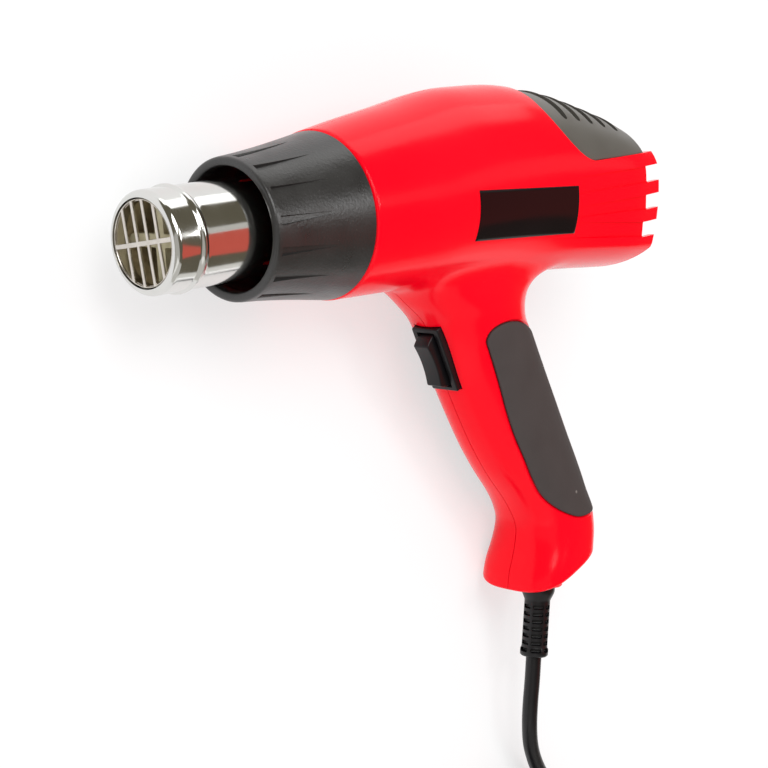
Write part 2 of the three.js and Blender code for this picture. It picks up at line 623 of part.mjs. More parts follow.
/** Everything hollow inside: barrel and handle cavity, tube bore and flange groove. */
function housingInside() {
  const bore = revolve([
    [NECK_X - 1, 0], [NECK_X - 1, NECK_INNER_R], [BULKHEAD_X, NECK_INNER_R], [BULKHEAD_X, TUBE_R + GAP],
    [FLANGE_X - GAP, TUBE_R + GAP], [FLANGE_X - GAP, FLANGE_R + GAP],
    [TUBE_END_X + GAP, FLANGE_R + GAP], [TUBE_END_X + GAP, TUBE_R + GAP],
    [BULKHEAD_BACK_X + 1, TUBE_R + GAP], [BULKHEAD_BACK_X + 1, 0],
  ]);
  const barrel = body(BODY_WALL, BULKHEAD_BACK_X, TAIL_X + 1, 7, INNER_RING_STEP);
  return join(bore, barrel, handleHollow());
}

/** Outer shape of the air duct, grown by a margin. */
const ductOutside = (margin) => revolve([
  [DUCT_X - margin, 0], [DUCT_X - margin, DUCT_FRONT_R + margin],
  [DUCT_X + CARRIER_FRONT + CARRIER_RIB + margin, DUCT_FRONT_R + margin], [DUCT_CONE_X, DUCT_R + margin],
  [DUCT_BACK_X + margin, DUCT_R + margin], [DUCT_BACK_X + margin, 0],
], INNER_SIDES);

/** Ribs that carry the duct, bosses for the screws and posts for the board, the lead and its clamp. */
function housingFittings() {
  const withinWalls = join(body(BODY_WALL - SINK, BULKHEAD_BACK_X - SINK, TAIL_X, 7, INNER_RING_STEP),
    loft(HANDLE_INNER_STATIONS.map((share) => handleRing(share * (HANDLE_DROP - SINK), HANDLE_WALL - SINK, HANDLE_INNER_SIDES))));
  const ribs = [DUCT_X + CARRIER_FRONT, DUCT_BACK_X - CARRIER_BACK].map((x) =>
    cut(block([x, -bodyBelly(1), -REACH], [x + CARRIER_RIB, REACH, REACH]), ductOutside(GAP)));
  const bosses = BOSSES.map(({ x, y }) => pinAlongZ(x, y, BOSS_R, -REACH, REACH, 10));
  const boardPosts = [-1, 1].map((end) => {
    const foot = new THREE.Vector3(0, end * BOARD_LENGTH * 0.38, 0).applyMatrix4(boardPose);
    return pinAlongZ(foot.x, foot.y, BOARD_POST_R, -REACH, -BOARD_THICKNESS / 2 - GAP, 8);
  });
  const clampPosts = clampScrewPlaces.map(({ x, y }) => pinAlongZ(x, y, CLAMP_POST_R, -REACH, -GAP / 2, 8));
  const saddle = moved(block([-CLAMP_UP - CLAMP_WIDTH / 2, -CLAMP_POST_R, -REACH],
    [-CLAMP_UP + CLAMP_WIDTH / 2, CLAMP_POST_R, -LEAD_R - GAP]), leadPose);
  return common(join(...ribs, ...bosses, ...boardPosts, ...clampPosts, saddle), withinWalls);
}

/** Where the tail ends at a height y. */
const tipX = (y) => TAIL_X - (y + TAIL_ROUND_DROP) ** 2 / (2 * TAIL_ROUND_R);

/** What lies behind the arc of the prong tips. */
function tailRound() {
  const shape = new THREE.Shape(spread(BODY_HALF_WIDTH, -1.4 * BODY_HALF_WIDTH, 15)
    .map((y) => new THREE.Vector2(tipX(y), y)));
  shape.lineTo(TAIL_X + REACH, -1.4 * BODY_HALF_WIDTH);
  shape.lineTo(TAIL_X + REACH, BODY_HALF_WIDTH);
  return plate(shape, -REACH, REACH);
}

/** Notches between the prongs and the flutes that run forward from them, on both sides. */
function tailCuts() {
  const cuts = [tailRound()];
  for (let i = 0; i < NOTCHES; i++) {
    const high = PRONG_TOP - PRONG_WIDTH - i * PRONG_PITCH;
    const low = high - (PRONG_PITCH - PRONG_WIDTH);
    const stations = [[TAIL_X + 1, 1], [TAIL_X - 20, 1], [TAIL_X - FLUTE_LENGTH * 0.6, 0.45],
      [TAIL_X - FLUTE_LENGTH, -0.1]];
    for (const hand of [-1, 1]) {
      cuts.push(block([tipX((low + high) / 2) - PRONG_DEPTH, low, hand > 0 ? 12 : -REACH],
        [TAIL_X + 1, high, hand > 0 ? REACH : -12]));
      cuts.push(loft(stations.map(([x, depth]) => [[low, 0], [high, 0], [high, 1], [low, 1]].map(([y, outer]) =>
        new THREE.Vector3(x, y, hand * (sideAt(x, y) - FLUTE_DEPTH * depth + outer * 6))))));
    }
  }
  return cuts;
}

/** Entry and locking slots for the collar's lugs and the slots between the neck's fingers. */
function neckCuts() {
  const middleX = COLLAR_BACK_X - LUG_BACK;
  const halfSlot = LUG_WIDTH / 2 + GAP;
  const cuts = spread(0, 360 - 360 / FINGERS, FINGERS).map((turn) =>
    solid(new THREE.BoxGeometry(FINGER_LENGTH + 1, FINGER_SLOT, NECK_WALL * 4)
      .translate(NECK_X - 1 + (FINGER_LENGTH + 1) / 2, 0, NECK_R).rotateX(radians(turn + LUG_FIRST + COLLAR_TWIST))));
  const arc = LUG_SPREAD + 4;
  for (let i = 0; i < LUGS; i++) {
    const start = LUG_FIRST + (360 / LUGS) * i;
    const lane = neckSector(middleX - halfSlot, middleX + halfSlot, start - arc / 2, start + COLLAR_TWIST + arc / 2, 1);
    const entry = neckSector(NECK_X - 1, middleX + halfSlot, start + COLLAR_TWIST - arc / 2, start + COLLAR_TWIST + arc / 2, 1);
    cuts.push(lane, entry);
  }
  return cuts;
}

/** A piece of ring round the barrel axis between two angles, in the thickness of the neck. */
function neckSector(fromX, toX, fromAngle, toAngle, margin) {
  const steps = Math.ceil((toAngle - fromAngle) / 6) + 1;
  return loft(spread(fromAngle, toAngle, steps).map((angle) => {
    const [c, s] = [Math.cos(radians(angle)), Math.sin(radians(angle))];
    const [low, high] = [NECK_INNER_R - margin, NECK_R + margin];
    return [[fromX, low], [fromX, high], [toX, high], [toX, low]].map(([x, r]) => new THREE.Vector3(x, -r * s, r * c));
  }));
}

/** The pocket for the switch: its bezel's seat and the hole for its case. */
function switchCuts() {
  const halfWidth = BEZEL_WIDTH / 2 + GAP;
  const halfLength = BEZEL_LENGTH / 2 + GAP;
  const seat = block([-BEZEL_SUNK - GAP, -halfLength, -halfWidth], [20, halfLength, halfWidth]);
  const hole = block([-SWITCH_CASE_DEPTH - GAP, -SWITCH_CASE_LENGTH / 2 - GAP, -SWITCH_CASE_WIDTH / 2 - GAP],
    [20, SWITCH_CASE_LENGTH / 2 + GAP, SWITCH_CASE_WIDTH / 2 + GAP]);
  return [seat, hole].map((made) => moved(made, switchPose));
}

/** Where a screw's head sits: the outside of the right half, less the head's recess. */
const headSeatZ = -(SCREW_GRIP + GAP / 2);

/** Screw holes: clearance and head recess in the right half, pilot in the left. */
function screwCuts() {
  return BOSSES.flatMap(({ x, y }) => [
    pinAlongZ(x, y, SCREW_HEAD_R + GAP, -REACH, headSeatZ, 12),
    pinAlongZ(x, y, SCREW_R + GAP, headSeatZ - 1, SCREW_BITE + GAP, 8),
  ]);
}

/** The hollow shell of both halves before it is parted. */
function housingShell() {
  const outside = housingOutside();
  const padBand = cut(handle(-PAD_PROUD - 1), handle(PAD_THICKNESS - PAD_PROUD + GAP));
  const padRecess = [
    common(padBand, plate(padOutline(GAP), 0, REACH)),
    common(padBand, plate(padOutline(GAP), -REACH, 0)),
  ];
  const boot = moved(revolve([[-EXIT_BOSS_SEAT - 1, 0], [-EXIT_BOSS_SEAT - 1, BOOT_R + GAP], [EXIT_BOSS_LENGTH + 1, BOOT_R + GAP],
    [EXIT_BOSS_LENGTH + 1, 0]], 24), leadPose);
  const clampPilots = clampScrewPlaces.map(({ x, y }) =>
    pinAlongZ(x, y, SCREW_R + GAP, LEAD_R - SCREW_BITE - 1, LEAD_R + 1, 8));
  const hollow = join(cut(outside, housingInside()), housingFittings(), exitBoss());
  const coverHole = plate(coverOutline(GAP, TAIL_X + 1), -REACH, REACH);
  return cut(hollow, ...tailCuts(), coverHole, ...neckCuts(), ...switchCuts(), ...screwCuts(),
    ...padRecess, boot, ...clampPilots);
}

// Pieces round the barrel axis

function nozzleTube() {
  const lip = spread(0, 90, 4).map((angle) => [
    TUBE_LIP_R * (1 - Math.sin(radians(angle))), TUBE_R - TUBE_LIP_R * (1 - Math.cos(radians(angle))),
  ]).reverse();
  const bead = spread(-1, 1, 5).map((way) => [
    BEAD_X + way * BEAD_HALF_WIDTH, TUBE_R + BEAD_HEIGHT * Math.cos((way * Math.PI) / 2),
  ]);
  const innerLip = [[TUBE_LIP_R, TUBE_INNER_R], [TUBE_WALL, TUBE_R - TUBE_LIP_R]];
  return revolve([
    ...lip, ...bead, [FLANGE_X, TUBE_R], [FLANGE_X, FLANGE_R], [TUBE_END_X, FLANGE_R],
    [TUBE_END_X, TUBE_INNER_R], ...innerLip,
  ]);
}

function outletGrille() {
  const rimR = TUBE_R - TUBE_LIP_R - GAP;
  const footR = TUBE_INNER_R - GAP;
  const front = GAP;
  const cup = revolve([
    [front, rimR - GRILLE_RING], [front, rimR], [GRILLE_DEPTH - GRILLE_SHEET, rimR],
    [GRILLE_DEPTH - GRILLE_SHEET, footR], [GRILLE_DEPTH, footR], [GRILLE_DEPTH, rimR - GRILLE_SHEET],
    [front + GRILLE_SHEET, rimR - GRILLE_SHEET], [front + GRILLE_SHEET, rimR - GRILLE_RING],
  ]);
  const reach = rimR - GRILLE_RING / 2;
  const cross = block([front, -GRILLE_CROSS_BAR / 2, -reach], [front + GRILLE_SHEET, GRILLE_CROSS_BAR / 2, reach]);
  const uprights = spread(-1, 1, GRILLE_BARS).map((way) => {
    const z = (way * GRILLE_BAR_PITCH * (GRILLE_BARS - 1)) / 2;
    const half = Math.sqrt(reach * reach - z * z);
    return block([front, -half, z - GRILLE_BAR / 2], [front + GRILLE_SHEET, half, z + GRILLE_BAR / 2]);
  });
  const turned = new THREE.Matrix4().makeRotationX(radians(GRILLE_TURN));
  return moved(join(cup, cross, ...uprights), turned);
}

const SLEEVE_R = TUBE_INNER_R - GAP;
const SLEEVE_INNER_R = SLEEVE_R - SLEEVE_WALL;
const HEATER_BASE_X = TUBE_END_X - HEATER_BASE_THICKNESS;
const SLEEVE_END_X = HEATER_BASE_X - GAP;
const CORE_X = SLEEVE_BACK + 1;
const CORE_END_X = SLEEVE_END_X - 1;
const WIRE_COIL_R = SLEEVE_INNER_R - WIRE_LIFT - WIRE_R;
const CORE_RIB_R = WIRE_COIL_R - WIRE_R - GAP;

function micaSleeve() {
  return revolve([[SLEEVE_BACK, SLEEVE_INNER_R], [SLEEVE_BACK, SLEEVE_R],
    [SLEEVE_END_X, SLEEVE_R], [SLEEVE_END_X, SLEEVE_INNER_R]], INNER_SIDES);
}

/** A ceramic star: a hub with round-backed ribs that carry the winding, wider at both ends. */
function heaterCore() {
  const star = (reach, fromX, toX) => {
    const ribs = spread(0, 360 - 360 / CORE_RIBS, CORE_RIBS).flatMap((turn) => {
      const length = reach - CORE_RIB_WIDTH / 2;
      const bar = new THREE.BoxGeometry(toX - fromX, CORE_RIB_WIDTH, length)
        .translate((fromX + toX) / 2, 0, length / 2).rotateX(radians(turn));
      const back = new THREE.CylinderGeometry(CORE_RIB_WIDTH / 2, CORE_RIB_WIDTH / 2, toX - fromX, 8)
        .rotateZ(Math.PI / 2).translate((fromX + toX) / 2, 0, length).rotateX(radians(turn));
      return [solid(bar), solid(back)];
    });
    const hub = revolve([[fromX, 0], [fromX, CORE_HUB_R], [toX, CORE_HUB_R], [toX, 0]], 16);
    return join(hub, ...ribs);
  };
  return join(star(CORE_RIB_R, CORE_X, CORE_END_X), star(SLEEVE_INNER_R - GAP, CORE_X, CORE_X + CORE_SPIDER),
    star(SLEEVE_INNER_R - GAP, CORE_END_X - CORE_SPIDER, CORE_END_X));
}

/** A closed tube through points, with a small ring of sides square to the way at each point. */
function tubeThrough(points, radius, sides, up) {
  return loft(points.map((point, i) => {
    const way = points[Math.min(i + 1, points.length - 1)].clone().sub(points[Math.max(i - 1, 0)]).normalize();
    const across = new THREE.Vector3().crossVectors(up, way).normalize();
    const over = new THREE.Vector3().crossVectors(way, across);
    return spread(0, 360 - 360 / sides, sides).map((angle) => point.clone()
      .addScaledVector(across, radius * Math.cos(radians(angle))).addScaledVector(over, radius * Math.sin(radians(angle))));
  }));
}

/** The least clear distance of a wound tube to itself, past one turn of neighbours. */
function leastGap(points, diameter, skip) {
  let least = Infinity;
  points.forEach((point, i) => {
    for (let k = i + skip; k < points.length; k++) least = Math.min(least, point.distanceTo(points[k]));
  });
  return least - diameter;
}

function heatingCoil() {
  const fromX = CORE_X + CORE_SPIDER + 2 * WIRE_R;
  const toX = CORE_END_X - CORE_SPIDER - 2 * WIRE_R;
  const points = spread(0, WIRE_TURNS, WIRE_TURNS * WIRE_STEPS + 1).map((turn) => new THREE.Vector3(
    THREE.MathUtils.lerp(fromX, toX, turn / WIRE_TURNS),
    WIRE_COIL_R * Math.sin(turn * 2 * Math.PI), WIRE_COIL_R * Math.cos(turn * 2 * Math.PI)));
  console.log(`heating coil least gap ${leastGap(points, 2 * WIRE_R, WIRE_STEPS / 2).toFixed(2)} mm`);
  return tubeThrough(points, WIRE_R, WIRE_SIDES, new THREE.Vector3(1, 0, 0));
}

function heaterBase() {
  const disc = revolve([[HEATER_BASE_X, 0], [HEATER_BASE_X, SLEEVE_R], [TUBE_END_X, SLEEVE_R], [TUBE_END_X, 0]],
    INNER_SIDES);
  const holes = spread(0, 360 - 360 / HEATER_BASE_HOLES, HEATER_BASE_HOLES).map((turn) =>
    solid(new THREE.CylinderGeometry(HEATER_BASE_HOLE_R, HEATER_BASE_HOLE_R, 3 * HEATER_BASE_THICKNESS, 8)
      .rotateZ(Math.PI / 2).translate(HEATER_BASE_X, 0, SLEEVE_R * 0.62).rotateX(radians(turn))));
  return cut(disc, ...holes);
}

/** The collar's outer radius at a share of its length. */
const collarR = (share) => COLLAR_FRONT_R + COLLAR_FLARE * share ** COLLAR_FLARE_POWER;

function guardCollar() {
  const round = COLLAR_RIM_ROUND;
  const outer = spread(0.12, 1, 4).map((share) => [COLLAR_X + share * COLLAR_LENGTH, collarR(share)]);
  const inner = spread(1 - (COLLAR_FOOT + 1) / COLLAR_LENGTH, 0.2, 3).map((share) =>
    [COLLAR_X + share * COLLAR_LENGTH, Math.max(collarR(share) - COLLAR_WALL, NECK_R + GAP)]);
  const ring = revolve([
    [COLLAR_X + round, COLLAR_MOUTH_R], [COLLAR_X, COLLAR_MOUTH_R + round],
    [COLLAR_X, COLLAR_FRONT_R - 1.6 * round], [COLLAR_X + round, COLLAR_FRONT_R - 0.4 * round], ...outer,
    [COLLAR_BACK_X, NECK_R + GAP], [COLLAR_BACK_X - COLLAR_FOOT, NECK_R + GAP], ...inner,
    [COLLAR_X + COLLAR_LENGTH * 0.12, COLLAR_MOUTH_R],
  ], COLLAR_SIDES);
  const frontX = COLLAR_X + GROOVE_SETBACK;
  const [startR, endR] = [collarR(GROOVE_SETBACK / COLLAR_LENGTH), collarR((GROOVE_SETBACK + GROOVE_LENGTH) / COLLAR_LENGTH)];
  const section = (x, half, low) => [[low, -half], [low + 4, -half], [low + 4, half], [low, half]]
    .map(([r, y]) => new THREE.Vector3(x, y, r));
  const grooves = spread(GROOVE_FIRST, GROOVE_FIRST + 360 - 360 / GROOVES, GROOVES).map((turn) => moved(
    loft([section(frontX, GROOVE_WIDTH / 2, startR - GROOVE_DEPTH), section(frontX + GROOVE_LENGTH, 0.2, endR + 0.1)]),
    new THREE.Matrix4().makeRotationX(radians(turn))));
  const lugX = COLLAR_BACK_X - LUG_BACK;
  const lugs = spread(LUG_FIRST, LUG_FIRST + 360 - 360 / LUGS, LUGS).map((turn) => lug(lugX, turn));
  return join(cut(ring, ...grooves), ...lugs);
}

/** A bayonet lug that stands in from the collar's wall into the neck's slot. */
function lug(middleX, turn) {
  const half = LUG_SPREAD / 2;
  const wallR = collarR(1 - LUG_BACK / COLLAR_LENGTH) - COLLAR_WALL + SINK;
  return loft(spread(turn - half, turn + half, 3).map((angle) => {
    const [c, s] = [Math.cos(radians(angle)), Math.sin(radians(angle))];
    return [[-1, NECK_INNER_R + GAP], [-1, wallR], [1, wallR], [1, NECK_INNER_R + GAP]].map(([side, r]) =>
      new THREE.Vector3(middleX + (side * LUG_WIDTH) / 2, -r * s, r * c));
  }));
}

function airDuct() {
  const skin = cut(ductOutside(0), revolve([
    [DUCT_X - 1, 0], [DUCT_X - 1, DUCT_FRONT_R - DUCT_WALL],
    [DUCT_X + CARRIER_FRONT + CARRIER_RIB, DUCT_FRONT_R - DUCT_WALL], [DUCT_CONE_X, DUCT_R - DUCT_WALL],
    [DUCT_BACK_X + 1, DUCT_R - DUCT_WALL], [DUCT_BACK_X + 1, 0],
  ], INNER_SIDES));
  const [fromX, toX] = [MOTOR_X + MOTOR_LENGTH - CRADLE_LENGTH, MOTOR_X + MOTOR_LENGTH];
  const innerR = MOTOR_R + GAP;
  const cradle = revolve([[fromX, innerR], [fromX, innerR + CRADLE_WALL], [toX, innerR + CRADLE_WALL],
    [toX, innerR]], INNER_SIDES);
  const spokes = spread(45, 405 - 360 / CRADLE_SPOKES, CRADLE_SPOKES).map((turn) => {
    const reach = DUCT_R - innerR - SINK;
    return common(ductOutside(-DUCT_WALL / 2), solid(new THREE.BoxGeometry(CRADLE_LENGTH, CRADLE_SPOKE, reach)
      .translate((fromX + toX) / 2, 0, innerR + SINK + reach / 2).rotateX(radians(turn))));
  });
  return join(skin, cradle, ...spokes);
}

function motorCan() {
  const boreR = SHAFT_R + RUNNING_GAP;
  return revolve([
    [MOTOR_X + MOTOR_CAP_LENGTH + GAP, 0], [MOTOR_X + MOTOR_CAP_LENGTH + GAP, MOTOR_R], [MOTOR_BACK_X, MOTOR_R],
    [MOTOR_BACK_X, MOTOR_BOSS_R], [MOTOR_BACK_X + MOTOR_BOSS_LENGTH, MOTOR_BOSS_R],
    [MOTOR_BACK_X + MOTOR_BOSS_LENGTH, boreR], [MOTOR_BACK_X - SHAFT_IN_MOTOR - RUNNING_GAP, boreR],
    [MOTOR_BACK_X - SHAFT_IN_MOTOR - RUNNING_GAP, 0],
  ], INNER_SIDES);
}

function motorEndCap() {
  const step = MOTOR_CAP_LENGTH / 2;
  const drum = revolve([[MOTOR_X, 0], [MOTOR_X, MOTOR_R * 0.62], [MOTOR_X + step, MOTOR_R * 0.62],
    [MOTOR_X + step, MOTOR_R - 1], [MOTOR_X + MOTOR_CAP_LENGTH, MOTOR_R - 1], [MOTOR_X + MOTOR_CAP_LENGTH, 0]],
    INNER_SIDES);
  const tags = [-1, 1].map((side) => block([MOTOR_X - 6, side * MOTOR_R * 0.45 - 0.4, -2.4],
    [MOTOR_X + SINK, side * MOTOR_R * 0.45 + 0.4, 2.4]));
  return join(drum, ...tags);
}

function motorShaft() {
  const [fromX, toX] = [MOTOR_BACK_X - SHAFT_IN_MOTOR, FAN_BACK_X];
  return revolve([[fromX, 0], [fromX, SHAFT_R], [toX, SHAFT_R], [toX, 0]], 12);
}

/** An axial fan: a domed hub with twisted blades. */
function impeller() {
  const middle = FAN_X + FAN_LENGTH / 2;
  const hub = revolve([
    [FAN_X, SHAFT_R + GAP], [FAN_X, FAN_HUB_R], [FAN_BACK_X - FAN_HUB_R * 0.5, FAN_HUB_R],
    [FAN_BACK_X - FAN_HUB_R * 0.15, FAN_HUB_R * 0.75], [FAN_BACK_X, FAN_HUB_R * 0.4], [FAN_BACK_X, SHAFT_R + GAP],
  ], 18);
  const bladeRing = (r, chord, pitch) => {
    const [along, across] = [Math.cos(radians(pitch)), Math.sin(radians(pitch))];
    return [[-1, 0], [-0.1, 1], [1, 0], [-0.1, -0.45]].map(([way, thick]) => {
      const [s, t] = [(way * chord) / 2, thick * FAN_BLADE_THICKNESS];
      return new THREE.Vector3(middle + s * along - t * across, s * across + t * along, r);
    });
  };
  const blades = spread(0, 360 - 360 / FAN_BLADES, FAN_BLADES).map((turn) => moved(loft([
    bladeRing(FAN_HUB_R - 1.5, FAN_ROOT_CHORD * 0.8, FAN_PITCH_ROOT),
    bladeRing((FAN_HUB_R + FAN_R) / 2, (FAN_ROOT_CHORD + FAN_TIP_CHORD) / 2, (FAN_PITCH_ROOT + FAN_PITCH_TIP) / 2),
    bladeRing(FAN_R - 1, FAN_TIP_CHORD, FAN_PITCH_TIP),
  ]), new THREE.Matrix4().makeRotationX(radians(turn))));
  const sweep = revolve([[FAN_X, SHAFT_R + GAP], [FAN_X, FAN_R], [FAN_BACK_X, FAN_R], [FAN_BACK_X, SHAFT_R + GAP]]);
  return common(join(hub, ...blades), sweep);
}

function inletGrille() {
  const inset = Math.max(BODY_WALL, COVER_RECESS + COVER_WALL) + INLET_PLAY;
  const disc = common(body(inset, INLET_X - 2, TAIL_X, 5, INNER_RING_STEP),
    block([INLET_X, -REACH, -REACH], [INLET_X + INLET_THICKNESS, REACH, REACH]));
  const share = (INLET_X - BODY_X) / BODY_LENGTH;
  const [top, belly] = [bodyTop, bodyBelly].map((curve) => curve(share) - inset - INLET_FRAME - INLET_SLOT / 2);
  const slots = spread(-belly, top, INLET_SLOTS).map((y) => {
    const edges = [y - INLET_SLOT / 2, y + INLET_SLOT / 2];
    const half = (Math.min(...edges.map((edge) => sideAt(INLET_X, edge))) - inset) * INLET_SLOT_SHARE;
    return block([INLET_X - 1, edges[0], -half], [INLET_X + INLET_THICKNESS + 1, edges[1], half]);
  });
  return cut(disc, ...slots);
}

/** The grey cover: a curved sheet with five slots across it. */
function ventCover() {
  const backX = TAIL_X - COVER_SETBACK;
  const sheet = cut(body(COVER_RECESS, BODY_X, TAIL_X, 14), body(COVER_RECESS + COVER_WALL, BODY_X, TAIL_X + 1, 14, 2 * RING_STEP));
  const slots = spread(0, VENT_SLOTS - 1, VENT_SLOTS).map((i) => {
    const x = backX - COVER_LENGTH + VENT_SLOT_FIRST + i * VENT_SLOT_PITCH;
    return block([x, COVER_SHELF + COVER_WALL, -VENT_SLOT_HALF_LENGTH], [x + VENT_SLOT_WIDTH, REACH, VENT_SLOT_HALF_LENGTH]);
  });
  return cut(common(sheet, plate(coverOutline(0, backX), -REACH, REACH)), ...slots);
}

// Pieces of the handle

/** One grip pad on the left or right side, open over the screw heads on the right. */
function gripPad(half) {
  const skin = cut(handle(-PAD_PROUD), handle(PAD_THICKNESS - PAD_PROUD));
  const heads = BOSSES.map(({ x, y }) => pinAlongZ(x, y, SCREW_HEAD_R + GAP, -REACH, headSeatZ, 12));
  return cut(common(skin, plate(padOutline(0), -REACH, REACH), half), ...heads);
}

function switchBody() {
  const bezel = block([-BEZEL_SUNK, -BEZEL_LENGTH / 2, -BEZEL_WIDTH / 2], [BEZEL_PROUD, BEZEL_LENGTH / 2, BEZEL_WIDTH / 2]);
  const shell = block([-SWITCH_CASE_DEPTH, -SWITCH_CASE_LENGTH / 2, -SWITCH_CASE_WIDTH / 2],
    [0, SWITCH_CASE_LENGTH / 2, SWITCH_CASE_WIDTH / 2]);
  const floor = -ROCKER_PIVOT_DEPTH - ROCKER_BACK - ROCKER_R * Math.sin(radians(ROCKER_SWING)) - 2 * GAP;
  const well = block([floor, -ROCKER_R - GAP, -ROCKER_WIDTH / 2 - GAP], [20, ROCKER_R + GAP, ROCKER_WIDTH / 2 + GAP]);
  const pinHole = pinAlongZ(-ROCKER_PIVOT_DEPTH, 0, ROCKER_PIN_R + RUNNING_GAP,
    -ROCKER_WIDTH / 2 - GAP - ROCKER_PIN_REACH - GAP, ROCKER_WIDTH / 2 + GAP + ROCKER_PIN_REACH + GAP, 12);
  return moved(cut(join(bezel, shell), well, pinHole), switchPose);
}

/** The rocker: round ends about its pivot and a hollow face, level in its off position. */
function rocker() {
  const nose = radians(ROCKER_NOSE_ANGLE);
  const [out, down] = [ROCKER_R * Math.cos(nose), ROCKER_R * Math.sin(nose)];
  const lowest = Math.PI / 2 + Math.asin(ROCKER_BACK / ROCKER_R);
  const shape = new THREE.Shape();
  shape.moveTo(out, -down);
  shape.quadraticCurveTo(out - 2 * ROCKER_HOLLOW, 0, out, down);
  shape.absarc(0, 0, ROCKER_R, nose, lowest, false);
  shape.absarc(0, 0, ROCKER_R, -lowest, -nose, false);
  const key = plate(shape, -ROCKER_WIDTH / 2, ROCKER_WIDTH / 2, 10);
  const half = ROCKER_WIDTH / 2 + GAP + ROCKER_PIN_REACH;
  const made = join(key, pinAlongZ(0, 0, ROCKER_PIN_R, -half, half, 12));
  const pose = new THREE.Matrix4().makeTranslation(-ROCKER_PIVOT_DEPTH, 0, 0);
  return moved(made, switchPose.clone().multiply(pose));
}

/** The motor's supply board with four diodes and a capacitor. */
function rectifierBoard() {
  const sheet = block([-BOARD_WIDTH / 2, -BOARD_LENGTH / 2, -BOARD_THICKNESS / 2],
    [BOARD_WIDTH / 2, BOARD_LENGTH / 2, BOARD_THICKNESS / 2]);
  const diodes = spread(0, 3, 4).map((i) => solid(new THREE.CylinderGeometry(DIODE_R, DIODE_R, DIODE_LENGTH, 10)
    .rotateZ(Math.PI / 2).translate(0, -BOARD_LENGTH * 0.38 + i * DIODE_R * 3, BOARD_THICKNESS / 2 + DIODE_R * 0.8)));
  const can = pinAlongZ(0, BOARD_LENGTH * 0.27, CAPACITOR_R, 0, BOARD_THICKNESS / 2 + CAPACITOR_HEIGHT, 16);
  return moved(join(sheet, can, ...diodes), boardPose);
}

/** A screw driven along +z, its head's underside at a height. */
function screw(x, y, seatZ, length) {
  return join(pinAlongZ(x, y, SCREW_HEAD_R, seatZ - SCREW_HEAD, seatZ, 12),
    pinAlongZ(x, y, SCREW_R, seatZ - 0.5, seatZ + length, 8));
}

// Lead: boot, clamp and inner end

function strainRelief() {
  const start = -EXIT_BOSS_SEAT - GAP;
  const top = EXIT_BOSS_LENGTH + GAP;
  const skin = revolve([
    [start - BOOT_FLANGE, 0], [start - BOOT_FLANGE, BOOT_FLANGE_R], [start, BOOT_FLANGE_R], [start, BOOT_R],
    [top, BOOT_R], [top, BOOT_NECK_R], [top + 1.5, BOOT_NECK_R], [top + 6, BOOT_R], [top + BOOT_LENGTH - 4, BOOT_R],
    [top + BOOT_LENGTH - 3, BOOT_R + 0.5], [top + BOOT_LENGTH, BOOT_R + 0.5], [top + BOOT_LENGTH, 0],
  ], 16);
  const slots = [];
  for (let row = 0; row < BOOT_ROWS; row++) {
    const x = top + BOOT_FIRST_ROW + row * BOOT_ROW_PITCH;
    for (const turn of [0, 90, 180, 270]) {
      slots.push(solid(new THREE.BoxGeometry(BOOT_SLOT, 2 * BOOT_R * 0.62, BOOT_R)
        .translate(x, 0, BOOT_CORE_R + BOOT_R / 2).rotateX(radians(turn + 45))));
    }
  }
  return moved(cut(skin, ...slots), leadPose);
}

function cordEnd() {
  const from = -EXIT_BOSS_SEAT - 2 * GAP - BOOT_FLANGE;
  const to = -CLAMP_UP - CLAMP_WIDTH / 2 - LEAD_END_PAST_CLAMP;
  return moved(revolve([[to, 0], [to, LEAD_R], [from, LEAD_R], [from, 0]], 12), leadPose);
}

function cordClamp() {
  const bar = solid(new THREE.BoxGeometry(CLAMP_WIDTH, CLAMP_LENGTH, CLAMP_THICKNESS)
    .translate(-CLAMP_UP, 0, LEAD_R + GAP + CLAMP_THICKNESS / 2));
  return cut(moved(bar, leadPose), ...clampScrewPlaces.map(({ x, y }) =>
    pinAlongZ(x, y, SCREW_R + GAP, 0, REACH, 8)));
}

/** A clamp screw, driven along -z through the clamp into its post. */
function clampScrew({ x, y }) {
  const seatZ = LEAD_R + GAP + CLAMP_THICKNESS + GAP;
  return join(pinAlongZ(x, y, SCREW_HEAD_R, seatZ, seatZ + SCREW_HEAD, 12),
    pinAlongZ(x, y, SCREW_R, LEAD_R - SCREW_BITE, seatZ + 0.5, 8));
}

// Free lead, in bench axes from the boot's end

const COIL_PITCH = 2 * LEAD_R + COIL_CLEARANCE;
const COIL_OUTER_R = COIL_INNER_R + (COIL_TURNS / 2) * COIL_PITCH;
const COIL_LIFT = LEAD_R + TIE_THICKNESS + GAP; // the cord's middle in the lower layer
const COIL_TOP = COIL_LIFT + COIL_PITCH; // and in the upper one
const leadEnd = new THREE.Vector3(...LEAD_ROUTE.at(-1)).setZ(COIL_LIFT);
const coilMiddle = new THREE.Vector3(leadEnd.x - COIL_OUTER_R, leadEnd.y - GAP - 2 * LEAD_R, 0);

/** The stretch from the boot to the coil. */
function cordStretch(start, way) {
  const first = start.clone().addScaledVector(way, GAP);
  const route = LEAD_ROUTE.slice(0, -1).map((point) => new THREE.Vector3(...point));
  const curve = new THREE.CatmullRomCurve3([first, ...route, leadEnd]);
  const round = new THREE.Shape(spread(0, 360 - 360 / LEAD_SIDES, LEAD_SIDES).map((angle) =>
    new THREE.Vector2(LEAD_R * Math.cos(radians(angle)), LEAD_R * Math.sin(radians(angle)))));
  console.log(`lead stretch ${curve.getLength().toFixed(0)} mm`);
  return solid(new THREE.ExtrudeGeometry(round, { extrudePath: curve, steps: LEAD_STEPS, bevelEnabled: false }));
}

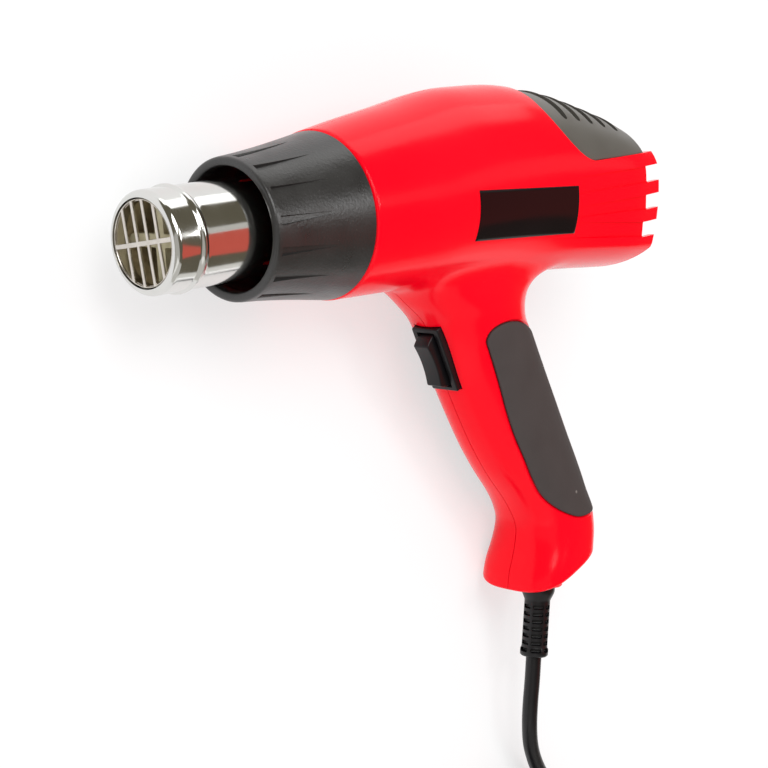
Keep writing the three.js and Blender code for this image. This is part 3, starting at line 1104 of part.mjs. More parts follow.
/** The coil: it winds in on the bench, climbs in half a turn and winds out again on top. */
function cordCoil() {
  const middle = COIL_TURNS / 2;
  const wound = spread(0, COIL_TURNS, COIL_TURNS * COIL_STEPS + 1).map((turn) => {
    const radius = COIL_INNER_R + Math.abs(middle - turn) * COIL_PITCH;
    const climb = THREE.MathUtils.smoothstep(turn, middle - 0.25, middle + 0.25);
    const angle = -2 * Math.PI * turn;
    return new THREE.Vector3(radius * Math.cos(angle), radius * Math.sin(angle), COIL_LIFT + climb * COIL_PITCH)
      .add(coilMiddle);
  });
  const lastWay = new THREE.Vector3(-1, 0, 0);
  const points = [wound[0].clone().add(new THREE.Vector3(0, 2 * LEAD_R, 0)), ...wound,
    wound.at(-1).clone().addScaledVector(lastWay, COIL_END_RUN)];
  const length = points.slice(1).reduce((sum, point, i) => sum + point.distanceTo(points[i]), 0);
  console.log(`cord coil ${length.toFixed(0)} mm, least gap ${leastGap(points, 2 * LEAD_R, COIL_STEPS / 2).toFixed(2)} mm`);
  return tubeThrough(points, LEAD_R, COIL_SIDES, new THREE.Vector3(0, 0, 1));
}

/** A strap round the coil's three turns in each of its two layers. */
function coilTie() {
  const [halfWide, halfHigh] = [COIL_PITCH + LEAD_R + TIE_PLAY, COIL_PITCH / 2 + LEAD_R + GAP];
  const frame = (wide, high) => block([-wide, -high, -TIE_WIDTH / 2], [wide, high, TIE_WIDTH / 2]);
  const strap = cut(frame(halfWide + TIE_THICKNESS, halfHigh + TIE_THICKNESS),
    block([-halfWide, -halfHigh, -TIE_WIDTH], [halfWide, halfHigh, TIE_WIDTH]));
  const middleR = COIL_INNER_R + 1.5 * COIL_PITCH;
  const pose = new THREE.Matrix4().makeTranslation(coilMiddle.x, coilMiddle.y, (COIL_LIFT + COIL_TOP) / 2)
    .multiply(new THREE.Matrix4().makeRotationZ(radians(TIE_ANGLE)))
    .multiply(new THREE.Matrix4().makeTranslation(middleR, 0, 0))
    .multiply(new THREE.Matrix4().makeRotationX(Math.PI / 2));
  return moved(strap, pose);
}

const plugStart = new THREE.Vector3(coilMiddle.x - COIL_END_RUN - GAP, coilMiddle.y - COIL_OUTER_R, COIL_TOP);
const plugFaceX = plugStart.x - PLUG_BOOT_LENGTH - PLUG_LENGTH;

/** A flat two-pin plug on its edge, with a tapered boot. */
function plugBody() {
  const halfHigh = COIL_TOP;
  const section = (back, wide, high, square) => spread(0, 345, 24).map((angle) => {
    const bend = (value) => Math.sign(value) * Math.abs(value) ** (2 / square);
    return new THREE.Vector3(plugStart.x - back, plugStart.y + wide * bend(Math.cos(radians(angle))),
      plugStart.z + high * bend(Math.sin(radians(angle))));
  });
  const [shoulder, face] = [PLUG_BOOT_LENGTH, PLUG_BOOT_LENGTH + PLUG_LENGTH];
  return loft([
    section(0, PLUG_BOOT_R, PLUG_BOOT_R, 2), section(shoulder * 0.7, PLUG_BOOT_R + 0.8, PLUG_BOOT_R + 1, 2),
    section(shoulder, PLUG_HALF_THICKNESS * 0.9, halfHigh * 0.6, 2.4),
    section(shoulder + PLUG_LENGTH * 0.3, PLUG_HALF_THICKNESS, halfHigh * 0.86, 2.8),
    section(face - 1.5, PLUG_HALF_THICKNESS, halfHigh, 3.2), section(face, PLUG_HALF_THICKNESS - 1, halfHigh - 1, 3.2),
  ]);
}

/** One of the plug's round pins. */
function plugPin(side) {
  const pin = new THREE.CylinderGeometry(PIN_R, PIN_R, PIN_LENGTH, 10).rotateZ(Math.PI / 2);
  return solid(pin.translate(plugFaceX - GAP - PIN_LENGTH / 2, plugStart.y, plugStart.z + (side * PIN_SPACING) / 2));
}

// Finishes

const finish = (color, roughness, metalness = 0) => new THREE.MeshStandardMaterial({ color, roughness, metalness });
const RED_ABS = finish(0xe8001c, 0.25);
const GUARD_GREY = finish(0x4a4c4e, 0.55);
const CHROME = finish(0xd4d4d2, 0.12, 1);
const CERAMIC = finish(0xb9b089, 0.8);
const MICA = finish(0x9a8a5c, 0.6);
const RESISTANCE_WIRE = finish(0x77706a, 0.4, 1);
const COVER_GREY = finish(0x79766f, 0.6);
const BLACK_PLASTIC = finish(0x17151a, 0.4);
const SOFT_GRIP = finish(0x4b4644, 0.85);
const STEEL = finish(0x9b9b9b, 0.35, 1);
const DUCT_WHITE = finish(0xcfc9b8, 0.6);
const BOARD_GREEN = finish(0x2f6b3c, 0.5);
const BLACK_RUBBER = finish(0x2b2a2d, 0.75);

// Assembly

const tool = new THREE.Group();
const add = (name, made, material, group = tool) => {
  const mesh = new THREE.Mesh(made.isBufferGeometry ? made : geometryOf(made), material);
  mesh.name = name;
  group.add(mesh);
  return mesh;
};

const shell = housingShell();
add('housing_left', common(shell, leftHalf), RED_ABS);
add('housing_right', common(shell, rightHalf), RED_ABS);
add('guard_collar', guardCollar(), GUARD_GREY);
add('nozzle_tube', nozzleTube(), CHROME);
add('outlet_grille', outletGrille(), CHROME);
add('heater_core', heaterCore(), CERAMIC);
add('heating_coil', heatingCoil(), RESISTANCE_WIRE);
add('mica_sleeve', micaSleeve(), MICA);
add('heater_base', heaterBase(), MICA);
add('air_duct', airDuct(), DUCT_WHITE);
add('motor_can', motorCan(), STEEL);
add('motor_end_cap', motorEndCap(), BLACK_PLASTIC);
add('motor_shaft', motorShaft(), STEEL);
add('impeller', impeller(), BLACK_PLASTIC);
add('inlet_grille', inletGrille(), BLACK_PLASTIC);
add('vent_cover', ventCover(), COVER_GREY);
add('switch_body', switchBody(), BLACK_PLASTIC);
add('rocker', rocker(), BLACK_PLASTIC);
add('grip_left', gripPad(leftHalf), SOFT_GRIP);
add('grip_right', gripPad(rightHalf), SOFT_GRIP);
add('rectifier_board', rectifierBoard(), BOARD_GREEN);
add('strain_relief', strainRelief(), BLACK_RUBBER);
add('cord_end', cordEnd(), BLACK_RUBBER);
add('cord_clamp', cordClamp(), BLACK_PLASTIC);
clampScrewPlaces.forEach((place, i) => add(`clamp_screw_${i + 1}`, clampScrew(place), STEEL));
BOSSES.forEach(({ x, y }, i) =>
  add(`housing_screw_${i + 1}`, screw(x, y, headSeatZ - GAP, SCREW_GRIP + SCREW_BITE), STEEL));

// Place on the bench: the barrel's flank and the pommel touch it together

/** The roll at which barrel and pommel reach equally low. */
function restingRoll(geometry) {
  const place = geometry.getAttribute('position');
  const lowest = (roll, ofBarrel) => {
    let low = Infinity;
    for (let i = 0; i < place.count; i++) {
      if (place.getY(i) > -HANDLE_DROP / 2 !== ofBarrel) continue;
      low = Math.min(low, place.getY(i) * Math.sin(roll) + place.getZ(i) * Math.cos(roll));
    }
    return low;
  };
  let [from, to] = [0, radians(15)];
  for (let i = 0; i < 40; i++) {
    const roll = (from + to) / 2;
    if (lowest(roll, true) < lowest(roll, false)) from = roll;
    else to = roll;
  }
  return from;
}

tool.rotation.x = restingRoll(tool.getObjectByName('housing_right').geometry);
const toolBox = new THREE.Box3().setFromObject(tool, true);
const middle = toolBox.getCenter(new THREE.Vector3());
tool.position.set(-middle.x, -middle.y, -toolBox.min.z);
tool.updateMatrixWorld(true);

const bootEnd = leadPoint(EXIT_BOSS_LENGTH + GAP + BOOT_LENGTH).applyMatrix4(tool.matrix);
const bootWay = leadWay.clone().transformDirection(tool.matrix);
const lead = new THREE.Group();
lead.position.set(bootEnd.x, bootEnd.y, 0);
add('cord_stretch', cordStretch(new THREE.Vector3(0, 0, bootEnd.z), bootWay), BLACK_RUBBER, lead);
add('cord_coil', cordCoil(), BLACK_RUBBER, lead);
add('coil_tie', coilTie(), BLACK_PLASTIC, lead);
add('plug_body', plugBody(), BLACK_RUBBER, lead);
[1, -1].forEach((side, i) => add(`plug_pin_${i + 1}`, plugPin(side), STEEL, lead));

const part = new THREE.Group();
part.add(tool, lead);
console.log(`roll ${THREE.MathUtils.radToDeg(tool.rotation.x).toFixed(2)}`, 'tool at', tool.position.toArray());

export default part;
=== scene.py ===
"""Hot air tool: smooth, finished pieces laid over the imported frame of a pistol-grip heat gun.

The pieces are drawn in the tool's own frame, in millimetres: x runs back from the outlet's mouth along the
barrel axis, y to the tool's top and z to its left side. They are then laid on the bench, in metres.
"""

from __future__ import annotations

import json
import logging
import math
from dataclasses import dataclass, field
from enum import Enum
from typing import Any, Callable, Sequence

import bmesh
import bpy
import numpy as np
from mathutils import Matrix, Vector
from mathutils.bvhtree import BVHTree
from mathutils.interpolate import poly_3d_calc

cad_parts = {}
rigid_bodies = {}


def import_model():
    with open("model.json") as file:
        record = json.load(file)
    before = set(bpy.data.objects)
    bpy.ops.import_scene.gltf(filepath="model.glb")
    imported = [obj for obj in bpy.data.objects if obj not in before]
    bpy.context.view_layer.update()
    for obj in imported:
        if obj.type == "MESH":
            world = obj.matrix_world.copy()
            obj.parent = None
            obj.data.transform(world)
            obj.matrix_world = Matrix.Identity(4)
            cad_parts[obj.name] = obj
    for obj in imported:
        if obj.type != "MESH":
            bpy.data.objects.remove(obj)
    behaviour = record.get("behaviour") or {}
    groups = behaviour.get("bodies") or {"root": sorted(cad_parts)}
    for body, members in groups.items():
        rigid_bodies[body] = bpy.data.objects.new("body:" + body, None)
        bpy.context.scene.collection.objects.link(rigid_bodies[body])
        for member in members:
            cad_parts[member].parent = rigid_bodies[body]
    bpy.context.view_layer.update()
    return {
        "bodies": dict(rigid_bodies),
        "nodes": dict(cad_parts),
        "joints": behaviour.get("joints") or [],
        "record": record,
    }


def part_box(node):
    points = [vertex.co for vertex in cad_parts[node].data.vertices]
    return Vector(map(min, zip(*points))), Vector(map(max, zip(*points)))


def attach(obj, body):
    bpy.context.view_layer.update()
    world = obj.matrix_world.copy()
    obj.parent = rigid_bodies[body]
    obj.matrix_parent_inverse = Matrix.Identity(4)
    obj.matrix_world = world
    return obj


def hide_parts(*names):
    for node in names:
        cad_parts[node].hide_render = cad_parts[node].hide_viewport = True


LOG = logging.getLogger("hot_air_tool")

MM = 0.001
GAP = 0.3  # between two pieces that seat on each other, as in the solids
FAR = 200.0  # how far a cutting block runs past the tool
WELD = 1e-5  # points of a mesh that lie closer than this become one
PROBE = 0.4  # how far to each side of a place its slope is read

Array = np.ndarray
Pair = tuple[float, float]
Triple = tuple[float, float, float]
Knots = Sequence[Pair]
Curve = Callable[[Any], Any]
Piece = bpy.types.Object
Tree = bpy.types.NodeTree


class Way(Enum):
    """What a tool piece does to the piece that it is put to."""

    CUT = "DIFFERENCE"
    JOIN = "UNION"
    TRIM = "INTERSECT"


class Body(Enum):
    """The frame's bodies that new pieces ride on."""

    TOOL = "tool_body"
    GUARD = "heat_guard"
    ROCKER = "switch_rocker"


# Curves and places


def hermite(ends: Sequence[Any], slopes: Sequence[Any], span: Any, s: Any) -> Any:
    """Blends two ends and their slopes to a cubic curve over a span, read at shares s of it."""
    level = ends[0] * (1 + 2 * s) * (1 - s) ** 2 + ends[1] * s * s * (3 - 2 * s)
    return level + span * (slopes[0] * s * (1 - s) ** 2 + slopes[1] * s * s * (s - 1))


def through(knots: Knots) -> Curve:
    """Makes a smooth curve through knots that never overshoots them.

    Args:
        knots: Pairs of place and value, in order of place.

    Returns:
        A function from places to values, which holds its ends.
    """
    at, value = np.array(knots, float).T
    rise = np.diff(value) / np.diff(at)
    slope = np.concatenate([rise[:1], np.zeros(len(rise) - 1), rise[-1:]])
    one, two = rise[:-1], rise[1:]
    same = one * two > 0
    slope[1:-1][same] = 2 * one[same] * two[same] / (one[same] + two[same])

    def curve(place: Any) -> Any:
        """Reads the curve.

        Args:
            place: One place or many.

        Returns:
            The values there.
        """
        held = np.clip(place, at[0], at[-1])
        i = np.clip(np.searchsorted(at, held) - 1, 0, len(rise) - 1)
        span = at[i + 1] - at[i]
        return hermite((value[i], value[i + 1]), (slope[i], slope[i + 1]), span, (held - at[i]) / span)

    return curve


def eased(knots: Knots, width: float) -> Curve:
    """Makes a curve through knots whose bends are spread over a width, so that gloss runs over them evenly.

    Args:
        knots: Pairs of place and value, in order of place.
        width: How far to each side of a place the curve is averaged.

    Returns:
        A function from places to values.
    """
    sharp = through(knots)
    first, last = knots[0][0], knots[-1][0]
    weights = (1, 2, 3, 4, 3, 2, 1)

    def curve(place: Any) -> Any:
        """Reads the eased curve.

        Args:
            place: One place or many.

        Returns:
            The values there.
        """
        held = np.clip(place, first, last)
        room = np.minimum(width, np.minimum(held - first, last - held))
        total = sum(w * sharp(held + room * (k - 3) / 3) for k, w in enumerate(weights))
        return total / sum(weights)

    return curve


def smoothstep(value: Any, low: float, high: float) -> Any:
    """Rises smoothly from 0 at low to 1 at high."""
    s = np.clip((np.asarray(value, float) - low) / (high - low), 0, 1)
    return s * s * (3 - 2 * s)


def bent(value: Any, power: float) -> Any:
    """Raises a size to a power and keeps its sign."""
    return np.sign(value) * np.abs(value) ** power


def bezier(a: Any, b: Any, c: Any, d: Any, count: int) -> Array:
    """Gives points on a cubic curve.

    Args:
        a: Its start.
        b: The first handle.
        c: The second handle.
        d: Its end.
        count: How many points.

    Returns:
        The points, the first axis along the curve.
    """
    a, b, c, d = (np.asarray(p, float) for p in (a, b, c, d))
    t = np.linspace(0, 1, count).reshape((-1,) + (1,) * a.ndim)
    return a * (1 - t) ** 3 + 3 * b * t * (1 - t) ** 2 + 3 * c * t * t * (1 - t) + d * t**3


def quarter(count: int) -> Array:
    """Gives angles over a quarter turn, in radians."""
    return np.linspace(0, np.pi / 2, count)


def run_length(points: Array) -> Array:
    """Measures how far along a line each of its points lies."""
    return np.concatenate([[0], np.cumsum(np.linalg.norm(np.diff(points, axis=0), axis=1))])


def along_points(points: Array, steps: int) -> Array:
    """Draws a smooth line through points.

    Args:
        points: The points to pass through.
        steps: How many steps between two of them.

    Returns:
        The line's points, with both ends.
    """
    at = run_length(points)
    slope = np.gradient(points, at, axis=0)
    s = np.linspace(0, 1, steps, endpoint=False)[:, None]
    spans = enumerate(np.diff(at))
    line = [hermite(points[i : i + 2], slope[i : i + 2], span, s) for i, span in spans]
    return np.concatenate([*line, points[-1:]])


def unit(vectors: Array) -> Array:
    """Scales vectors to length one."""
    return vectors / np.maximum(np.linalg.norm(vectors, axis=-1, keepdims=True), 1e-12)


# Meshes


def linked(name: str, data: Any) -> Piece:
    """Makes an object from its data.

    Args:
        name: Its name.
        data: A mesh, curve, light or camera.

    Returns:
        The object, linked to the scene.
    """
    piece = bpy.data.objects.new(name, data)
    bpy.context.scene.collection.objects.link(piece)
    return piece


def mesh_piece(name: str, points: Array, faces: Sequence[Sequence[int]]) -> Piece:
    """Makes an object from points and faces, with its faces outwards.

    Args:
        name: Its name.
        points: Its points, three numbers each.
        faces: The points' indices round each face.

    Returns:
        The object, linked to the scene.
    """
    mesh = bpy.data.meshes.new(name)
    mesh.from_pydata(np.asarray(points, float).reshape(-1, 3).tolist(), [], [list(f) for f in faces])
    made = bmesh.new()
    made.from_mesh(mesh)
    bmesh.ops.remove_doubles(made, verts=made.verts, dist=WELD)
    bmesh.ops.recalc_face_normals(made, faces=made.faces)
    made.to_mesh(mesh)
    made.free()
    return linked(name, mesh)


def grid_faces(rows: int, across: int, wrap_rows: bool, wrap_across: bool) -> list[list[int]]:
    """Lists the four-sided faces of a grid of points.

    Args:
        rows: How many rows.
        across: How many points in a row.
        wrap_rows: Whether the last row joins the first.
        wrap_across: Whether each row is a closed ring.

    Returns:
        The faces.
    """
    i = np.arange(rows if wrap_rows else rows - 1)[:, None]
    j = np.arange(across if wrap_across else across - 1)[None, :]
    low, high = i * across, ((i + 1) % rows) * across
    right = (j + 1) % across
    return np.stack([low + j, low + right, high + right, high + j], -1).reshape(-1, 4).tolist()


def loft(name: str, rings: Array) -> Piece:
    """Makes a closed skin through rings, with a fan over each end.

    Args:
        name: Its name.
        rings: Rings of equally many points.

    Returns:
        The object.
    """
    rings = np.asarray(rings, float)
    count, around = rings.shape[:2]
    faces = grid_faces(count, around, False, True)
    points = np.concatenate([rings.reshape(-1, 3), rings[:1].mean(1), rings[-1:].mean(1)])
    for ring, tip in ((0, count * around), (count - 1, count * around + 1)):
        faces += [[tip, ring * around + k, ring * around + (k + 1) % around] for k in range(around)]
    return mesh_piece(name, points, faces)


def turned(name: str, profile: Knots, sides: int) -> Piece:
    """Makes a turned piece about the barrel axis.

    Args:
        name: Its name.
        profile: Pairs of x and radius. A profile that starts on the axis is closed there, another on itself.
        sides: How many sides.

    Returns:
        The object.
    """
    x, r = np.array(profile, float).T
    turn = np.linspace(0, 2 * np.pi, sides, endpoint=False)
    if r[0] > 0:
        rows = np.stack([x + 0 * turn[:, None], r * np.sin(turn)[:, None], r * np.cos(turn)[:, None]], -1)
        return mesh_piece(name, rows, grid_faces(sides, len(x), True, True))
    x, r, turn = x[1:-1, None], r[1:-1, None], turn[None, :]
    return loft(name, np.stack([x + 0 * turn, r * np.sin(turn), r * np.cos(turn)], -1))


def block(name: str, low: Sequence[float], high: Sequence[float]) -> Piece:
    """Makes a block from its lowest and highest corners."""
    (a, b, c), (d, e, f) = low, high
    return loft(name, [[(x, b, c), (x, e, c), (x, e, f), (x, b, f)] for x in (a, d)])


def slab(name: str, low: float, high: float, half: Sequence[float]) -> Piece:
    """Makes a block along x that is even about its axis, from its ends and half its sizes in y and z."""
    return block(name, (low, -half[0], -half[1]), (high, half[0], half[1]))


def rod(name: str, low: float, high: float, radius: float, sides: int) -> Piece:
    """Makes a round rod about the barrel axis."""
    return turned(name, [(low, 0), (low, radius), (high, radius), (high, 0)], sides)


def prism(name: str, outline: Array, low: float, high: float) -> Piece:
    """Draws a flat outline in x and y out along z.

    Args:
        name: Its name.
        outline: Its points in order.
        low: Where it starts along z.
        high: Where it ends.

    Returns:
        The object.
    """
    count = len(outline)
    points = np.concatenate([np.c_[outline, np.full(count, z)] for z in (low, high)])
    ends = [list(range(count)), list(range(2 * count - 1, count - 1, -1))]
    return mesh_piece(name, points, grid_faces(2, count, False, True) + ends)


def thick_sheet(name: str, outer: Array, inner: Array) -> Piece:
    """Closes the space between two grids of points.

    Args:
        name: Its name.
        outer: The grid on one side.
        inner: The grid on the other side, of the same shape.

    Returns:
        The object.
    """
    rows, across = outer.shape[:2]
    size = rows * across
    top = grid_faces(rows, across, False, False)
    edge = list(range(across)) + [r * across + across - 1 for r in range(1, rows)]
    edge += [size - 1 - k for k in range(1, across)] + [r * across for r in range(rows - 2, 0, -1)]
    rim = [[a, b, b + size, a + size] for a, b in zip(edge, edge[1:] + edge[:1])]
    faces = top + [[k + size for k in reversed(f)] for f in top] + rim
    return mesh_piece(name, np.concatenate([outer.reshape(-1, 3), inner.reshape(-1, 3)]), faces)


def bake(piece: Piece) -> Piece:
    """Turns a piece and its modifiers into a plain mesh.

    Args:
        piece: The piece.

    Returns:
        The piece.
    """
    graph = bpy.context.evaluated_depsgraph_get()
    mesh = bpy.data.meshes.new_from_object(piece.evaluated_get(graph))
    piece.modifiers.clear()
    old, piece.data = piece.data, mesh
    bpy.data.meshes.remove(old)
    mesh.name = piece.name
    return piece


def work(piece: Piece, way: Way, *tools: Piece, keep: bool = False) -> Piece:
    """Cuts, joins or trims a piece with tool pieces.

    Args:
        piece: The piece that is worked on.
        way: What the tools do to it.
        tools: The tool pieces.
        keep: Whether the tools stay. They are removed otherwise.

    Returns:
        The piece.
    """
    for tool in tools:
        modifier = piece.modifiers.new(way.name.lower(), "BOOLEAN")
        modifier.operation, modifier.solver, modifier.object = way.value, "MANIFOLD", tool
        bake(piece)
        if not keep:
            bpy.data.objects.remove(tool)
    return piece


def twin(piece: Piece, name: str, mirrored: bool = False) -> Piece:
    """Copies a piece, mirrored from the left side to the right if asked.

    Args:
        piece: The piece.
        name: The copy's name.
        mirrored: Whether z is turned round.

    Returns:
        The copy.
    """
    copy = linked(name, piece.data.copy())
    if mirrored:
        copy.data.transform(Matrix.Diagonal((1, 1, -1, 1)))
        copy.data.flip_normals()
    return copy


def moved(piece: Piece, matrix: Matrix) -> Piece:
    """Moves a piece's mesh by a matrix, and returns the piece."""
    piece.data.transform(matrix)
    return piece


def softened(piece: Piece, width: float, segments: int = 3, angle: float = 35) -> Piece:
    """Rounds a piece's sharp edges.

    Args:
        piece: The piece.
        width: How far the round reaches from an edge.
        segments: Its steps.
        angle: The least turn, in degrees, that counts as an edge.

    Returns:
        The piece.
    """
    modifier = piece.modifiers.new("round", "BEVEL")
    modifier.width, modifier.segments = width, segments
    modifier.limit_method, modifier.angle_limit = "ANGLE", math.radians(angle)
    return bake(piece)


# Materials


def linear(colour: str) -> tuple[float, float, float, float]:
    """Turns an sRGB hex colour to linear values with full alpha."""
    parts = [int(colour[k : k + 2], 16) / 255 for k in (1, 3, 5)]
    return (*(p / 12.92 if p <= 0.04045 else ((p + 0.055) / 1.055) ** 2.4 for p in parts), 1.0)


def per_metre(size_mm: float) -> float:
    """Gives a texture's scale from the size of its pattern in millimetres."""
    return 1 / (size_mm * MM)


def put(tree: Tree, kind: str, settings: dict[str, Any], feeds: dict[Any, Any]) -> bpy.types.Node:
    """Adds a node with its settings and links.

    Args:
        tree: The node tree.
        kind: The node's type.
        settings: Its properties.
        feeds: Values or output sockets for its inputs, by name or index.

    Returns:
        The node.
    """
    node = tree.nodes.new(kind)
    for key, value in settings.items():
        setattr(node, key, value)
    for key, value in feeds.items():
        if isinstance(value, bpy.types.NodeSocket):
            tree.links.new(value, node.inputs[key])
        else:
            node.inputs[key].default_value = value
    return node


def bare_tree(owner: Any) -> Tree:
    """Gives a material or world an empty node tree.

    Args:
        owner: The material or world.

    Returns:
        The tree.
    """
    owner.use_nodes = True
    owner.node_tree.nodes.clear()
    return owner.node_tree


def maths(tree: Tree, operation: str, *values: Any) -> Any:
    """Adds a Math node for values or sockets, and returns its output socket."""
    return put(tree, "ShaderNodeMath", {"operation": operation}, dict(enumerate(values))).outputs[0]


def ranged(tree: Tree, value: Any, *ends: Any) -> Any:
    """Adds a Map Range node, from the first two ends to the last two, and returns its output socket."""
    return put(tree, "ShaderNodeMapRange", {}, dict(enumerate((value, *ends)))).outputs[0]


def blended(tree: Tree, share: Any, low: Any, high: Any) -> Any:
    """Adds a Mix node between two colours, and returns its output socket."""
    return put(tree, "ShaderNodeMix", {"data_type": "RGBA"}, {0: share, "A": low, "B": high}).outputs[2]


def noise(tree: Tree, place: Any, size_mm: float, detail: float) -> Any:
    """Adds a noise texture with a pattern of some size, and returns its output socket."""
    feeds = {"Vector": place, "Scale": per_metre(size_mm), "Detail": detail}
    return put(tree, "ShaderNodeTexNoise", {}, feeds).outputs["Fac"]


@dataclass(frozen=True)
class Finish:
    """A material's look: its colours, gloss and surface texture at real sizes."""

    name: str
    slot: str  # of the record's materials
    colour: str
    shade: str  # the colour of its darker clouds
    roughness: Pair
    ior: float = 1.5
    metallic: float = 0.0
    cloud_mm: float = 18.0  # size of the clouds in colour and gloss
    grain_mm: float = 0.6  # size of the surface texture
    grain_height_mm: float = 0.01
    stretch: Triple = (1.0, 1.0, 1.0)  # of the surface texture
    specks: str = ""  # colour of the dust or grit on it
    speck_mm: float = 2.0
    speck_share: float = 0.0

    def material(self) -> bpy.types.Material:
        """Builds the material.

        Returns:
            The material, or the one that was built before.
        """
        made = bpy.data.materials.get(self.name)
        if made:
            return made
        made = bpy.data.materials.new(self.name)
        tree = bare_tree(made)
        place = put(tree, "ShaderNodeTexCoord", {}, {}).outputs["Object"]
        cloud = noise(tree, place, self.cloud_mm, 5.0)
        colour = blended(tree, cloud, linear(self.shade), linear(self.colour))
        if self.specks:
            colour = self.speckled(tree, place, colour)
        gloss = ranged(tree, cloud, 0.3, 0.7, *self.roughness)
        drawing = {"Vector": place, "Scale": self.stretch}
        drawn = put(tree, "ShaderNodeMapping", {"vector_type": "TEXTURE"}, drawing)
        grain = noise(tree, drawn.outputs[0], self.grain_mm, 3.0)
        relief = {"Height": grain, "Strength": 1.0, "Distance": self.grain_height_mm * MM}
        bump = put(tree, "ShaderNodeBump", {}, relief)
        look = {
            "Base Color": colour, "Roughness": gloss, "Metallic": self.metallic, "IOR": self.ior,
            "Normal": bump.outputs[0],
        }
        shader = put(tree, "ShaderNodeBsdfPrincipled", {}, look)
        put(tree, "ShaderNodeOutputMaterial", {}, {"Surface": shader.outputs[0]})
        return made

    def speckled(self, tree: Tree, place: Any, colour: Any) -> Any:
        """Strews specks over a colour.

        Args:
            tree: The material's node tree.
            place: The socket with Object coordinates.
            colour: The socket with the colour below the specks.

        Returns:
            The socket with the speckled colour.
        """
        feeds = {"Vector": place, "Scale": per_metre(self.speck_mm), "Randomness": 1.0}
        cells = put(tree, "ShaderNodeTexVoronoi", {"feature": "F1"}, feeds)
        few = put(tree, "ShaderNodeSeparateColor", {}, {0: cells.outputs["Color"]})
        chosen = maths(tree, "LESS_THAN", few.outputs[0], self.speck_share)
        near = ranged(tree, cells.outputs["Distance"], 0.05, 0.16, 0.8, 0.0)
        return blended(tree, maths(tree, "MULTIPLY", chosen, near), colour, linear(self.specks))


# Injection-moulded ABS from a polished mould: a clear gloss over a strong red, with faint sink waves.
RED_ABS = Finish(
    "red_abs_polished", "red_abs", "#fd001d", "#f6001a", (0.15, 0.22), 1.25,
    cloud_mm=40, grain_mm=22, grain_height_mm=0.05,
)
# Glass-filled polyamide from a spark-eroded mould: dark grey satin. The grit is drawn at 1.0 mm to show.
GUARD_PA = Finish(
    "guard_polyamide_satin", "guard_grey", "#2b2a29", "#222121", (0.27, 0.38), 1.6,
    cloud_mm=10, grain_mm=1.0, grain_height_mm=0.09, specks="#55544f", speck_mm=1.2, speck_share=0.3,
)
# Chromed deep-drawn steel: a mirror with faint drawing lines along the tube and smudges in its gloss.
CHROME = Finish(
    "chromed_drawn_steel", "chrome_tube", "#dcdcda", "#cfcfcb", (0.09, 0.15), metallic=1.0,
    cloud_mm=9, grain_mm=0.5, grain_height_mm=0.0006, stretch=(14.0, 1.0, 1.0),
)
# Pressed and chromed grille sheet, duller than the tube from heat.
GRILLE_STEEL = Finish(
    "grille_steel_heated", "chrome_tube", "#dcd7d0", "#c2bbb2", (0.14, 0.26), metallic=1.0,
    cloud_mm=3, grain_mm=0.4, grain_height_mm=0.003,
)
# Unglazed steatite: cream, chalky, browned in places by the winding's heat.
CERAMIC = Finish(
    "steatite_unglazed", "ceramic", "#e6dfbf", "#a79b72", (0.65, 0.85), 1.6,
    cloud_mm=5, grain_mm=0.5, grain_height_mm=0.03,
)
# Oxidised resistance wire: dark grey with a dull metal gloss.
WIRE = Finish(
    "resistance_wire_oxidised", "resistance_wire", "#7d756d", "#4a4540", (0.35, 0.5), metallic=1.0,
    cloud_mm=3, grain_mm=0.4,
)
# Pressed mica board: olive brown flakes.
MICA = Finish(
    "mica_board_pressed", "mica", "#cbb78e", "#94835c", (0.35, 0.6), 1.58,
    cloud_mm=2, grain_mm=1.0, grain_height_mm=0.02,
)
# Heat-resistant duct moulding, off-white and matt.
DUCT = Finish(
    "duct_pbt_moulded", "duct_plastic", "#d8d2c2", "#c9c2b0", (0.45, 0.6), 1.55, grain_height_mm=0.012
)
# Zinc-plated steel: pale grey, faintly clouded.
ZINC = Finish(
    "steel_zinc_plated", "plain_steel", "#c4c6c9", "#9fa2a6", (0.22, 0.38), metallic=1.0,
    cloud_mm=3, grain_mm=0.4, grain_height_mm=0.003,
)
# Black polyamide of switch, clamp and fan: a low satin gloss on a fine spark-eroded texture.
BLACK_PA = Finish(
    "polyamide_black_satin", "black_plastic", "#141215", "#0c0b0d", (0.28, 0.42), 1.38,
    cloud_mm=8, grain_mm=0.5, grain_height_mm=0.008,
)
# Warm grey ABS from a textured mould: a satin that dulls what it mirrors.
COVER_ABS = Finish(
    "cover_abs_satin", "cover_grey", "#605d57", "#53504a", (0.36, 0.48), 1.55,
    cloud_mm=16, grain_mm=0.7, grain_height_mm=0.012,
)
# Soft-touch TPE overmoulding: dark, matt, with lint and dust on it.
GRIP_TPE = Finish(
    "grip_tpe_matt", "soft_grip", "#473f3d", "#3a3534", (0.62, 0.8), 1.48,
    cloud_mm=12, grain_mm=0.6, grain_height_mm=0.03, specks="#8d8681", speck_mm=5.0, speck_share=0.12,
)
# Lacquered glass-fibre circuit board: green with a low gloss.
BOARD = Finish(
    "board_fr4_lacquered", "board_green", "#2f6b3c", "#244f2e", (0.25, 0.4), cloud_mm=3, grain_mm=0.8
)
# Plasticised PVC of lead, boot and plug: black with a soft gloss and slight waves from the extruder.
CORD_PVC = Finish(
    "cord_pvc_soft", "black_rubber", "#151417", "#0f0e10", (0.3, 0.44), 1.42,
    cloud_mm=10, grain_mm=1.2, grain_height_mm=0.02,
)
# Printed polyester film with a gloss laminate: black, with a painted reflection of the red housing round it
# mixed into its colour as a faint red tint.
LABEL_FILM = Finish(
    "label_film_black", "black_plastic", "#160d10", "#0f090b", (0.1, 0.16), 1.3,
    cloud_mm=20, grain_mm=8, grain_height_mm=0.01,
)

